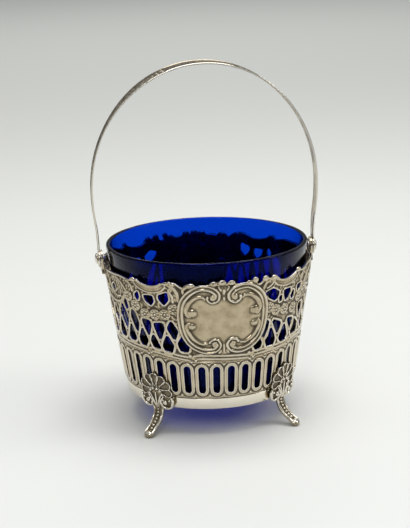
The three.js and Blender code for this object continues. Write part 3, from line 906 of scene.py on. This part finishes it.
def garlandBeads():
    radius, petals, (long, wide, high) = garland["roseRadius"], garland["petals"], garland["petal"]
    reach = garland["petalReach"] * radius
    beads = []
    for i, (angle, y) in enumerate(garland["roses"]):
        x = angle * perDegree
        turns = [math.radians(garland["turn"] * i + 360 * k / petals) for k in range(petals)]
        beads += [pearl(x, y, radius * share, height) for share, height in garland["middle"]]
        beads += flower(x, y, turns, reach, radius * long, radius * wide, high)
    return beads


def garlandRings():
    return [(withWidth(circle(a * perDegree, z, garland["roseRadius"], 24), garland["ring"]), True)
            for a, z in garland["roses"]]


leaves = {
    "seed": 11,
    "step": 2.2,
    "side": 87,
    "heights": (62, 87),
    "shift": 0.5,
    "turn": 35,
    "sizes": (0.8, 1.25),
    "leaf": (1.3, 0.62, 0.42),
    "ground": {"low": 63.5, "rise": 4.5, "rises": (46, 66)},
    "besideField": 25.8,
    "underEdge": 1.4,
    "fromHole": 1.1,
    "fromRose": 0.7,
    "flowsRound": (38, 76),
}


def insideOutline(x, y, outline):
    ax, ay = outline[:, 0], outline[:, 1]
    bx, by = np.roll(ax, -1), np.roll(ay, -1)
    crossed = (ay > y) != (by > y)
    slope = np.where(by == ay, 1e-9, by - ay)
    return np.count_nonzero(crossed & (x < (bx - ax) * (y - ay) / slope + ax)) % 2 == 1


def isGround(x, y, edge, holes):
    # On the sheet between the openings, clear of the cartouche, the roses and the upper edge
    ground = leaves["ground"]
    angle = abs(x / perDegree)
    low = ground["low"] + ground["rise"] * smoothStep(angle, *ground["rises"])
    high = np.interp(x, edge[:, 0], edge[:, 1]) - leaves["underEdge"]
    if angle < leaves["besideField"] or y < low or y > high:
        return False
    clear = garland["roseRadius"] + leaves["fromRose"]
    if any(math.hypot(a * perDegree - x, z - y) < clear for a, z in garland["roses"]):
        return False
    return not any(insideOutline(x, y, hole) or np.hypot(*(hole - (x, y)).T).min() < leaves["fromHole"]
                   for hole in holes)


def leafGround():
    # Small leaves over the ground of the garland and the crest
    draw = np.random.default_rng(leaves["seed"])
    holes, edge = openingOutlines(), smoothLine(onWall(topEdge), 4)
    step, side, shift = leaves["step"], leaves["side"] * perDegree, leaves["shift"]
    (long, wide, high), (centreX, centreY) = leaves["leaf"], leaves["flowsRound"]
    beads = []
    for x in np.arange(-side, side, step):
        for y in np.arange(*leaves["heights"], step):
            px, py = x + draw.uniform(-shift, shift), y + draw.uniform(-shift, shift)
            turn, size = draw.uniform(-leaves["turn"], leaves["turn"]), draw.uniform(*leaves["sizes"])
            if isGround(px, py, edge, holes):
                flow = math.degrees(math.atan2(py - centreY, abs(px) - centreX)) + 90
                beads.append((px, py, long * size, wide * size, high, math.copysign(flow, px) + turn))
    return beads


crest = {
    "left": {
        "thick": [(-32.6, 85.2, 1.6), (-34.4, 83.3, 2.6), (-37.6, 82.2, 3.3), (-41.4, 81.9, 3.6),
                  (-45.4, 82.6, 3.3), (-48.6, 84.1, 2.6), (-50.4, 85.9, 1.6)],
        "ribs": [[(-24.6, 76.5, 1.3), (-24.9, 80.6, 1.9), (-26.6, 84, 2.2), (-29.2, 85.1, 1.8)],
                 [(-27.6, 75.6, 1), (-27.9, 79.4, 1.4), (-29.4, 82.2, 1.3)],
                 [(-21.4, 80.6, 1.1), (-21.6, 83, 1.6), (-19.6, 84.8, 1.8), (-17.2, 84.7, 1.5)]],
    },
    "right": {
        "thick": [(30.2, 84.8, 1.6), (32.2, 83, 2.6), (35.6, 81.8, 3.3), (39.4, 81.4, 3.6), (43.4, 82, 3.3),
                  (46.6, 83.4, 2.6), (48.8, 85.2, 1.6)],
        "ribs": [[(21.8, 77.2, 1.2), (22.4, 80.8, 1.7), (24, 84, 2), (25.6, 84.4, 1.5)],
                 [(24.6, 80.8, 1), (27.4, 82.2, 1.4), (29.4, 84.4, 1.5)],
                 [(16.6, 82.4, 1.1), (17.8, 83.6, 1.6), (16, 85, 1.7), (13.8, 84.9, 1.3)]],
    },
    "folds": [[(53.4, 79, 1.2), (54.2, 83, 1.8), (57.6, 85, 1.7)],
              [(58.4, 77.6, 1.2), (61.6, 82, 1.9), (67, 85, 1.7)],
              [(64.6, 74.6, 1.3), (69.6, 74.2, 1.6), (74.8, 79, 1.9), (77, 84, 1.6)],
              [(60.6, 76, 1.4), (64.6, 72, 1.8), (72, 70.6, 1.8), (80, 72.6, 1.6)],
              [(80, 75, 1.3), (83, 80, 1.8), (85.4, 85, 1.4)]],
    "knobs": [(-52, 86, 1.9, 1.4), (-31, 86, 1.7, 1.2), (-27.2, 86, 1.5, 1.2), (-17.6, 85.6, 2.3, 1.3),
              (-5.5, 86.3, 2.2, 1.5), (-1, 86.8, 2.2, 1.6), (4, 86.6, 2, 1.5), (17.2, 86.6, 1.8, 1.8),
              (23.4, 86.4, 1.9, 1.8), (29.2, 86.1, 1.9, 1.5), (49.2, 86.1, 1.9, 1.5)],
    "knobHeight": 1.3,
    "edge": 1.15,
    "underEdge": 0.5,
    "ridges": [(-1.4, 1.15), (1.4, 1.15)],
    "eye": {"radius": 1.0, "turns": 0.8, "steps": 10, "taper": 0.2},
    "turnHeight": 81,  # ribs that start above it wind the other way
}


def crestBands():
    return [smoothLine(onWall(crest[name]["thick"])) for name in ("left", "right")]


def crestLines():
    edge = smoothLine(onWall([(a, z - crest["underEdge"]) for a, z in topEdge]), 4)
    lines = [withWidth(edge, crest["edge"])]
    for name, side, thick in zip(("left", "right"), (-1, 1), crestBands()):
        lines += ridges(thick, crest["ridges"])
        for knots in crest[name]["ribs"]:
            turn = side if knots[0][1] < crest["turnHeight"] else -side
            lines.append(windIn(smoothLine(onWall(knots)), turn, **crest["eye"]))
        lines += [smoothLine(onWall(onSide(knots, side))) for knots in crest["folds"]]
    return lines


def rollWall(points):
    angle = np.radians(points[:, 0] / perDegree)
    radius = np.minimum(wallRadius(points[:, 1]) + np.minimum(points[:, 2], wall["relief"]), wall["reach"])
    return np.column_stack([radius * np.sin(angle), -radius * np.cos(angle), points[:, 1]]) * mm


# Painted shade over the frieze: heights and angles where the hollow value is raised, and by how much
tarnishAndShade = {
    "frameFoot": (46, 49),
    "frameSide": (23.5, 26.5),
    "framePaintedShade": 0.1,
    "flowersFoot": (60, 66),
    "flowersPaintedShade": 0.07,
    "flowersEvener": 0.12,
}


def paintFriezeShade(mesh, points):
    # Painted shade: the cartouche gets a higher hollow value than the lattice and the slots, so it reads
    # darker in its hollows and less bright on its ridges, and the garland and the crest are evener and a
    # little darker
    framed = smoothStep(points[:, 1], *tarnishAndShade["frameFoot"])
    framed = framed * (1 - smoothStep(np.abs(points[:, 0]) / perDegree, *tarnishAndShade["frameSide"]))
    flowered = (1 - framed) * smoothStep(points[:, 1], *tarnishAndShade["flowersFoot"])
    hollow = mesh.attributes["hollow"].data
    values = readAll(hollow, "value")
    values += tarnishAndShade["framePaintedShade"] * framed
    values += flowered * (tarnishAndShade["flowersPaintedShade"] - tarnishAndShade["flowersEvener"] * (values - 0.5))
    hollow.foreach_set("value", values)


def hammer(points):
    # Low waves that the hand-worked sheet keeps
    x, y = points[:, 0], points[:, 1]
    (a, b, c), (d, e, f) = panel["waves"]
    points[:, 2] += panel["hammering"] * np.sin(a * x + b * np.sin(c * y)) * np.sin(d * y + e * np.sin(f * x))


def finishPanel(name, meshes, rounds):
    mesh = fuse(name, meshes, panel["voxel"], 3)
    markHollows(mesh, rounds, **panel["hollows"])
    points = coordinates(mesh)
    paintFriezeShade(mesh, points)
    hammer(points)
    moveTo(mesh, rollWall(points))
    front = thinOut("front" + name, mesh, panel["triangles"])
    back = turnedCopy("back" + name, front)
    dress(front, "front_panel", struckSilver)
    dress(back, "back_panel", struckSilver)
    print(name, len(front.data.polygons))


def makeGallery():
    finishPanel("Gallery", [
        flatWork([galleryOutline(), *slotOutlines(0)], -wall["sheet"], 0.0),
        slotFrames(),
        beadWork(slotTrim(), 1),
    ], 8)


def makeFrieze():
    finishPanel("Frieze", [
        flatWork([friezeOutline(), *openingOutlines()], -wall["sheet"], 0.0),
        flatWork([fieldOutline()], cartouche["fieldLow"], cartouche["fieldHeight"]),
        roundWork(borderLines(), 0.5, 0.1, 3),
        *openingRims(),
        roundWork(crestBands(), 0.16, 0.12, 3),
        roundWork(bothSides(cartouche["outer"]), 0.36, 0.15, 3),
        roundWork([*bothSides(cartouche["shoulder"]), *bothSides(cartouche["lower"])], 0.72, 0.3, 3),
        roundWork(cartoucheRidges(), 0.8, 0.62, 3),
        roundWork(crestLines(), 0.62, 0.28, 3),
        roundWork(garlandRings(), 1.0, 0.32),
        beadWork([*borderKnobs(), *garlandBeads(), *cartoucheLeaves()]),
        beadWork([(a * perDegree, *shape, crest["knobHeight"], 0) for a, *shape in crest["knobs"]]),
        beadWork(leafGround(), 1),
    ], 10)


makeGallery()
makeFrieze()

print("round pieces")


def spun(name, profile, segments, closed=False, place=Matrix()):
    # A profile of radius and height in millimetres, spun round the middle and put in its place
    work = bmesh.new()
    corners = [work.verts.new((radius, 0, height)) for radius, height in profile]
    edges = [work.edges.new(pair) for pair in zip(corners, corners[1:] + corners[:1] * closed)]
    bmesh.ops.spin(work, geom=corners + edges, cent=(0, 0, 0), axis=(0, 0, 1), angle=2 * math.pi,
                   steps=segments, use_merge=True, use_duplicate=False)
    bmesh.ops.remove_doubles(work, verts=work.verts, dist=1e-4)
    bmesh.ops.recalc_face_normals(work, faces=work.faces)
    mesh = meshFrom(name, work)
    mesh.transform(Matrix.Scale(mm, 4) @ place)
    mesh.shade_smooth()
    return linkNew(name, mesh)


band = {
    "foot": 15.1,
    "top": 21.3,
    "thickness": 1.4,
    "ledgeReach": 7.0,
    "ledge": 1.4,
    "edge": 0.35,
    "edgeCurve": 0.3,
    "corner": 0.4,
    "segments": 160,
}


def makeBand():
    low, high, edge = band["foot"], band["top"], band["edge"]
    middle, seat = (low + high) / 2, low + band["ledge"]
    soft, corner = edge * band["edgeCurve"], band["corner"]
    inner, seatInner = (wallRadius(height) - band["thickness"] for height in (high, seat))
    reach = seatInner - band["ledgeReach"]
    profile = [
        (wallRadius(low) - edge, low), (wallRadius(low + soft) - soft, low + soft),
        (wallRadius(low + edge), low + edge), (wallRadius(middle), middle),
        (wallRadius(high - edge), high - edge),
        (wallRadius(high) - soft, high - soft), (wallRadius(high) - edge, high),
        (inner + edge, high), (inner, high - edge), (seatInner, seat + corner), (seatInner - corner, seat),
        (reach + edge, seat), (reach, seat - edge), (reach, low + edge), (reach + edge, low),
    ]
    dress(spun("footBand", profile, band["segments"], True), "foot_band", plainSilver)


makeBand()

glass = {
    "wall": 2.4,
    "floor": 5.0,
    "foot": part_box("glass_liner")[0].z / mm,
    "baseRound": 2.5,
    "insideRound": 4.0,
    "pushedUp": 0.5,  # how far the underside is hollowed in its middle
    "hollow": 14,
    "standing": 3.0,
    "segments": 192,
}


def makeGlass():
    top, base, thick, lip = wall["rimHeight"], glass["foot"], glass["wall"], glass["wall"] / 2
    outer, inner, floor = glass["baseRound"], glass["insideRound"], base + glass["floor"]
    outside = [base + outer + share * (top - lip - base - outer) for share in (0.25, 0.5, 0.75)]
    inside = [floor + share * (top - lip - floor) for share in (0.75, 0.5, 0.25)]
    profile = [
        (0, base + glass["pushedUp"]), (glass["hollow"], base + 0.9 * glass["pushedUp"]),
        (glassRadius(base) - outer - glass["standing"], base),
        *arc(glassRadius(base + outer) - outer, base + outer, outer, -80, 0, 5),
        *((glassRadius(height), height) for height in outside),
        *arc(glassRadius(top - lip) - lip, top - lip, lip, 0, 180, 8),
        *((glassRadius(height) - thick, height) for height in inside),
        *arc(glassRadius(floor + inner) - thick - inner, floor + inner, inner, 0, -90, 6),
        (0, floor),
    ]
    dress(spun("blueLiner", profile, glass["segments"]), "glass_liner", cobaltGlass, "liner")


makeGlass()

print("handle, ears and rivets")
hinge = {
    "earGap": 0.3,
    "earThickness": 1.0,
    "earRadius": 4.7,
    "earFootWidth": 10.5,
    "earFootHeight": 82.0,
    "earDepth": 4.0,
    "earWaist": 1.2,
    "rim": 0.8,
    "face": -0.45,
    "fan": {"turns": (30, 60, 90, 120, 150), "reach": (0.6, 4.2), "foot": 1.2, "width": 0.55},
    "hollows": {"rounds": 8, "gain": 3.0},
    "voxel": 0.25,
    "triangles": 16000,
    "pin": 1.6,
    "head": 3.0,
    "headHeight": 1.4,
    "headEdge": 0.15,
    "tail": 2.4,
    "tailHeight": 0.8,
    "tailEdge": 0.3,
    "segments": 40,
}
hinge["earInner"] = wallRadius(wall["top"]) + hinge["earGap"]
hinge["earOuter"] = hinge["earInner"] + hinge["earThickness"]

handle = {
    "thickness": 1.2,
    "turningGap": 0.3,
    "bulge": 2.15,
    "shoulder": 126.0,
    "height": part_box("handle")[1].z / mm,
    "past": 8,  # the line goes on below the hinge, for the lower half of the eye
    "eye": 4.8,
    "eyeRim": 0.9,
    "eyeWidth": 5.0,
    "sideWidth": 7.5,
    "sideFull": 4.5,
    "topWidth": 15.0,
    "widens": (0.48, 0.94),
    "face": 0.0,
    "sunk": 0.25,
    "edge": 0.75,
    "plainTop": 21.0,
    "plainFoot": 84.0,
    "flowerPitch": 8.6,
    "flowerShift": 4,
    "flower": {"reach": 0.46, "petal": (0.3, 0.23, 0.62), "middle": (0.2, 0.7), "turn": 0.4, "fullFrom": 3.2},
    # Leaves between the flowers: across, along, half length, half width, height, turn
    "leaves": [(0.5, -0.6, 0.42, 0.6, 0.55, 52), (0.52, 1.5, 0.34, 0.5, 0.5, 30)],
    "reliefs": {"front": (1, -0.1), "back": (-0.5, 0.05)},
    "hollows": {"rounds": 10, "gain": 3.4, "ground": 0.2, "low": 0.0, "high": 0.7, "worked": 2.0},
    "voxel": 0.3,
    "triangles": 150000,
}
handle["middle"] = hinge["earOuter"] + handle["turningGap"] + handle["thickness"] / 2


def bezier(a, b, c, d, steps):
    t = np.linspace(0, 1, steps + 1)[1:, None]
    a, b, c, d = (np.array(p, float) for p in (a, b, c, d))
    return a * (1 - t) ** 3 + 3 * b * t * (1 - t) ** 2 + 3 * c * t * t * (1 - t) + d * t ** 3


def lengthsAlong(points):
    return np.concatenate([[0], np.cumsum(np.linalg.norm(np.diff(points, axis=0), axis=1))])


def headings(points, lengths):
    way = np.gradient(points, lengths, axis=0)
    return way / np.linalg.norm(way, axis=1)[:, None]


def valuesAt(where, lengths, values):
    return np.column_stack([np.interp(where, lengths, values[:, i]) for i in (0, 1)])


def strip(along, half):
    return np.vstack([np.column_stack([half, along]), np.column_stack([-half, along])[::-1]])


def stripEdges(along, half, width):
    return [withWidth(np.column_stack([side * half, along]), width) for side in (-1, 1)]


def handleLine():
    # Middle of the strip from the left hinge over the top to the right one: points, directions, lengths
    x, bow = handle["middle"], handle["middle"] + handle["bulge"]
    low, shoulder = hingeHeight + handle["eye"] + handle["turningGap"], handle["shoulder"]
    between = (low + shoulder) / 2
    top = handle["height"] - handle["thickness"] / 2
    rise = bezier((-x, low), (-x, between), (-bow, between), (-bow, shoulder), 24)
    turn = np.linspace(math.pi, math.pi / 2, 60)[1:]
    crown = np.column_stack([bow * np.cos(turn), shoulder + (top - shoulder) * np.sin(turn)])
    left = np.vstack([[(-x, hingeHeight - handle["past"]), (-x, hingeHeight), (-x, low)], rise, crown])
    points = np.vstack([left, (left[:-1] * (-1, 1))[::-1]])
    lengths = lengthsAlong(points) - handle["past"]
    return points, headings(points, lengths), lengths


bow, bowWay, bowLength = handleLine()
handleLength = bowLength[-1] - handle["past"]


def stripWidth(length):
    height = np.interp(length, bowLength, bow[:, 1])
    eye, eyeWidth, sideWidth = handle["eye"], handle["eyeWidth"], handle["sideWidth"]
    rise = handle["height"] - handle["shoulder"]
    side = smoothStep(height, hingeHeight + eye, hingeHeight + handle["sideFull"] * eye)
    top = smoothStep(height, *(handle["shoulder"] + share * rise for share in handle["widens"]))
    return eyeWidth + (sideWidth - eyeWidth) * side + (handle["topWidth"] - sideWidth) * top


def bendHandle(points):
    # x runs across the strip, y along it and z out of its outer face
    place, way = (valuesAt(points[:, 1], bowLength, values) for values in (bow, bowWay))
    out = np.minimum(points[:, 2], handle["thickness"] / 2)
    return np.column_stack([place[:, 0] - way[:, 1] * out, points[:, 0], place[:, 1] + way[:, 0] * out]) * mm


def handleFlowers():
    look, pitch = handle["flower"], handle["flowerPitch"]
    (long, wide, high), (middle, middleHeight) = look["petal"], look["middle"]
    beads = []
    for side in (-1, 1):
        for i, away in enumerate(np.arange(handle["plainTop"], handle["plainFoot"], pitch)):
            along = handleLength / 2 + side * (away + handle["flowerShift"])
            half = stripWidth(along) / 2 - handle["edge"]
            petals = 6 if half > look["fullFrom"] else 5
            turns = [2 * math.pi * k / petals + look["turn"] * i for k in range(petals)]
            beads += flower(0, along, turns, half * look["reach"], half * long, half * wide, high)
            beads.append(pearl(0, along, half * middle, middleHeight))
            between = along + side * pitch / 2
            half = stripWidth(between) / 2 - handle["edge"]
            beads += [(across * half * out, between + side * on, half * length, *size, across * side * turn)
                      for across in (-1, 1) for out, on, length, *size, turn in handle["leaves"]]
    return beads


def makeHandle():
    along = np.linspace(0, handleLength, 181)
    half = stripWidth(along) / 2
    edges = stripEdges(along, half - handle["edge"] / 2, handle["edge"])
    front, eye, eyeRim = handle["thickness"] / 2, handle["eye"], handle["eyeRim"]
    faces = {"front": handle["face"], "back": handle["sunk"] - front}
    meshes = [
        flatWork([strip(along, half)], faces["back"], faces["front"]),
        roundWork(edges, 1.0, front - 0.37),
        roundWork(edges, 0.9, 0.35 - front),
    ]
    for name, (height, lift) in handle["reliefs"].items():
        meshes.append(beadWork(handleFlowers(), 2, faces[name] + lift, height))
    for y in (0, handleLength):
        meshes.append(flatWork([circle(0, y, eye)], -front, front - handle["sunk"]))
        rim = withWidth(circle(0, y, eye - eyeRim / 2), eyeRim)
        meshes.append(roundWork([(rim, True)], 0.9, front - eyeRim / 2))
    mesh = fuse("handle", meshes, handle["voxel"], 3)
    markHollows(mesh, **handle["hollows"])
    moveTo(mesh, bendHandle(coordinates(mesh)))
    dress(thinOut("bowHandle", mesh, handle["triangles"]), "handle", wornSilver, "swing_handle")


makeHandle()


def makeEars():
    wide, high, radius = hinge["earFootWidth"] / 2, hinge["earFootHeight"], hinge["earRadius"]
    depth, rim, fan = hinge["earDepth"], hinge["rim"], hinge["fan"]
    between = (high + hingeHeight) / 2
    waist = (wide - hinge["earWaist"], between - 1)
    side = bezier((wide, high), waist, (radius, between), (radius, hingeHeight), 8)
    crown = arc(0, hingeHeight, radius, 6, 174, 28)
    outline = np.vstack([[(-wide, high), (wide, high)], side, crown, (side * (-1, 1))[::-1]])
    inset = outline.copy()
    inset[:, 0] *= 1 - 0.5 * rim / wide
    inset[:, 1] = hingeHeight + (inset[:, 1] - hingeHeight) * (1 - 0.5 * rim / (hingeHeight - high))
    rays = [[(reach * math.cos(turn), high + fan["foot"] + reach * math.sin(turn), fan["width"])
             for reach in fan["reach"]] for turn in np.radians(fan["turns"])]
    mesh = fuse("ear", [
        flatWork([outline], -depth, hinge["face"]),
        roundWork([(withWidth(inset, rim), True)], 0.9, -0.36),
        roundWork(rays, 0.8, -0.4),
    ], hinge["voxel"], 2)
    markHollows(mesh, **hinge["hollows"])
    # The ear's back follows the cone of the wall and its face is flat
    x, y, z = coordinates(mesh).T
    share = np.clip((z + depth) / depth, 0, 1)
    seat = np.sqrt((wallRadius(np.minimum(y, wall["top"])) + hinge["earGap"]) ** 2 - x ** 2)
    moveTo(mesh, np.column_stack([seat + share * (hinge["earOuter"] - seat), x, y]) * mm)
    right = thinOut("earRight", mesh, hinge["triangles"])
    left = turnedCopy("earLeft", right)
    dress(right, "ear_right", wornSilver)
    dress(left, "ear_left", wornSilver)


makeEars()


def makeRivets():
    tail, pin, head, edge = hinge["tail"], hinge["pin"], hinge["head"], hinge["tailEdge"]
    tailOuter = hinge["earInner"] - handle["turningGap"]
    tailInner = tailOuter - hinge["tailHeight"]
    headInner = handle["middle"] + handle["thickness"] / 2 + handle["turningGap"]
    profile = [
        (0, tailInner), (tail - edge, tailInner), (tail, tailInner + edge), (tail, tailOuter),
        (pin, tailOuter), (pin, headInner), (head - hinge["headEdge"], headInner),
        *(arc(0, 0, 1, 10, 90, 8) * (head, hinge["headHeight"]) + (0, headInner)),
    ]
    upright = Matrix.Translation((0, 0, hingeHeight)) @ Matrix.Rotation(math.pi / 2, 4, "Y")
    for name, node, turn in (("rivetRight", "rivet_right", 0), ("rivetLeft", "rivet_left", math.pi)):
        rivet = spun(name, profile, hinge["segments"], place=Matrix.Rotation(turn, 4, "Z") @ upright)
        dress(rivet, node, wornSilver)


makeRivets()

print("feet")
foot = {
    "angles": {"front_left": -45, "front_right": 45, "back_right": 135, "back_left": 225},
    "back": 1.05,
    "centre": 24.6,
    "shellTop": 40.0,
    # Turn, reach and half width of each petal of the shell
    "petals": [(0, 9.8, 2.75), (33, 9.9, 2.7), (66, 10.2, 2.65), (98, 10.2, 2.5)],
    "root": 2.2,
    "floor": 0.45,
    "rim": 0.62,
    # Round plates that fill the shell's middle, the ground of the leaves and the volutes: x, y, radius
    "middle": (0, 24.6, 4.6),
    "ground": (0, 19.2, 4.8),
    "voluteGround": (6.4, 18.2, 3.4),
    "volute": [(9.6, 21.4, 1.3), (10.1, 18.6, 1.6), (8.8, 15.8, 1.7), (6, 14.7, 1.6), (3.4, 16, 1.5),
               (2.6, 18.2, 1.2)],
    "voluteEye": {"radius": 1.5, "turns": 0.6, "steps": 10, "taper": 0.3},
    "vein": [(0, 23.6, 0.8), (0, 20, 1), (0, 15.5, 0.8)],
    "sideVeins": [[(3.4, 22.4, 0.8), (2, 19.2, 1.1), (0.6, 14.4, 1)],
                  [(5, 21.6, 0.8), (3.9, 20.2, 1), (3, 18.4, 0.9)]],
    "arch": {"turns": (-76, -46, -16, 16, 46, 76), "radius": 4.2, "drop": 3.2, "pearl": (0.85, 0.9)},
    "sidePearls": [(5.6, 18.2, 1.35, 1.2), (8.3, 19.4, 0.75, 0.8)],
    "legPearls": {"first": 3.8, "last": 14, "pitch": 2.1, "pearl": (0.85, 0.8)},
    "pearlLift": 1.25,
    "legTop": 17.5,
    "leg": [(14.0, -1.5), (10.8, -1.1), (7.2, 1.0), (4.0, 4.6), (2.0, 7.6), (1.2, 9.6), (1.1, 13.5)],
    "toeReach": 58.4,
    "toe": 2.4,
    "toeHeight": 3.7,
    "knee": 4.0,
    "ankle": 3.0,
    "ankleTop": 10,
    "instep": 2.5,
    "thickness": 0.75,
    "rail": 1.25,
    "hollows": {"rounds": 9, "gain": 3.0, "ground": 0.5, "low": 0.5, "high": 1.4, "worked": 0.8},
    "voxel": 0.17,
    "triangles": 60000,
}


def footSpine():
    # Back of the leg: radius and height, from the top of the shell down to the toe
    shellTop, top, back = foot["shellTop"], foot["legTop"], foot["back"]
    base = wallRadius(top) + back
    knots = [(wallRadius(top + 3) + back, top + 3), (base, top)]
    knots += [(base + out, height) for height, out in foot["leg"]]
    points = np.vstack([[wallRadius(shellTop) + back, shellTop], smoothLine(knots, 10)[10:]])
    lengths = shellTop - lengthsAlong(points)
    lengths[1:] += top - lengths[1]
    return points[::-1], headings(points, lengths)[::-1], lengths[::-1]


spine, spineWay, spineLength = footSpine()
onInstep = spineLength < foot["ankleTop"]
toeLength = np.interp(foot["toeReach"] - foot["toe"], spine[onInstep][::-1, 0], spineLength[onInstep][::-1])


def bendFoot(points):
    # Over the wall the work follows the cone; below it the leg leaves along its own line
    place, way = (valuesAt(points[:, 1], spineLength, values) for values in (spine, spineWay))
    onLeg = 1 - smoothStep(points[:, 1], foot["legTop"] - 2, foot["legTop"] + 1)
    outward = 1 + (way[:, 1] - 1) * onLeg
    upward = -way[:, 0] * onLeg
    radius = place[:, 0] + outward * points[:, 2]
    height = place[:, 1] + upward * points[:, 2]
    angle = points[:, 0] / (wallRadius(foot["centre"]) + foot["back"])
    return np.column_stack([radius * np.sin(angle), -radius * np.cos(angle), height])


def turnedOutline(outline, lean):
    x, y = outline.T
    c, s = math.cos(math.radians(lean)), math.sin(math.radians(lean))
    return np.column_stack([x * c + y * s, foot["centre"] - x * s + y * c])


def footPetals():
    return [(side * lean, reach, half) for lean, reach, half in foot["petals"]
            for side in ((-1, 1) if lean else (1,))]


def legHalf(length):
    ankle, knee, instep = foot["ankle"], foot["knee"], foot["instep"]
    half = ankle + (knee - ankle) * smoothStep(length, foot["ankleTop"], foot["legTop"])
    return half + (instep - ankle) * smoothStep(-length, -7, -1)


def shellParts():
    root, rim = foot["root"], foot["rim"]
    plates, rims = [], []
    for lean, reach, half in footPetals():
        plates.append(turnedOutline(dropShape(0, reach, root, half), lean))
        inner = dropShape(0, reach - rim / 2, root, half - rim / 2)
        rims.append((withWidth(turnedOutline(inner, lean), rim), True))
    plates.append(circle(*foot["middle"], 24))
    return [*(flatWork([plate], 0, foot["floor"]) for plate in plates), roundWork(rims, 1.7, 0.75)]


def voluteParts():
    meshes = [flatWork([circle(*foot["ground"])], 0, 0.6, 0.1)]
    lines = [smoothLine(foot["vein"], 4)]
    x, y, radius = foot["voluteGround"]
    for side in (-1, 1):
        lines.append(windIn(smoothLine(onSide(foot["volute"], side)), -side, **foot["voluteEye"]))
        lines += [smoothLine(onSide(vein, side), 4) for vein in foot["sideVeins"]]
        meshes.append(flatWork([arc(side * x, y, radius, 0, 345, 24)], 0, 0.5, 0.1))
    return [*meshes, roundWork(lines, 1.2, 1.1)]


def footPearls():
    arch, leg = foot["arch"], foot["legPearls"]
    radius, centre = arch["radius"], foot["centre"]
    turns = np.radians(arch["turns"])
    pearls = [(radius * math.sin(turn), centre + radius * math.cos(turn) - arch["drop"], *arch["pearl"])
              for turn in turns]
    pearls += [(side * x, *shape) for x, *shape in foot["sidePearls"] for side in (-1, 1)]
    pearls += [(0, y, *leg["pearl"]) for y in np.arange(toeLength + leg["first"], leg["last"], leg["pitch"])]
    return beadWork([pearl(*shape) for shape in pearls], 2, foot["pearlLift"])


def makeFootMesh():
    along = np.linspace(toeLength, foot["legTop"], 40)
    half, thickness, rail = legHalf(along), foot["thickness"], foot["rail"]
    sole = np.interp(toeLength, spineLength, spine[:, 1])
    toeHalf = foot["toeHeight"] / 2
    mesh = fuse("foot", [
        *shellParts(),
        *voluteParts(),
        flatWork([strip(along, half)], 0, thickness),
        roundWork(stripEdges(along, half - rail * 0.4, rail), 1.6, thickness + 0.2),
        footPearls(),
        beadWork([pearl(0, toeLength, foot["toe"], toeHalf)], 4, toeHalf - sole),
    ], foot["voxel"], 3)
    markHollows(mesh, **foot["hollows"])
    points = bendFoot(coordinates(mesh))
    points[:, 2] = np.maximum(points[:, 2], 0)
    moveTo(mesh, points * mm)
    return mesh


def makeFeet():
    first = thinOut("footFrontLeft", makeFootMesh(), foot["triangles"])
    plain = first.data.copy()
    for i, (corner, angle) in enumerate(foot["angles"].items()):
        name = "foot" + "".join(word.capitalize() for word in corner.split("_"))
        thing = first if i == 0 else linkNew(name, plain.copy())
        thing.data.transform(Matrix.Rotation(math.radians(angle), 4, "Z"))
        dress(thing, "foot_" + corner, struckSilver)


makeFeet()
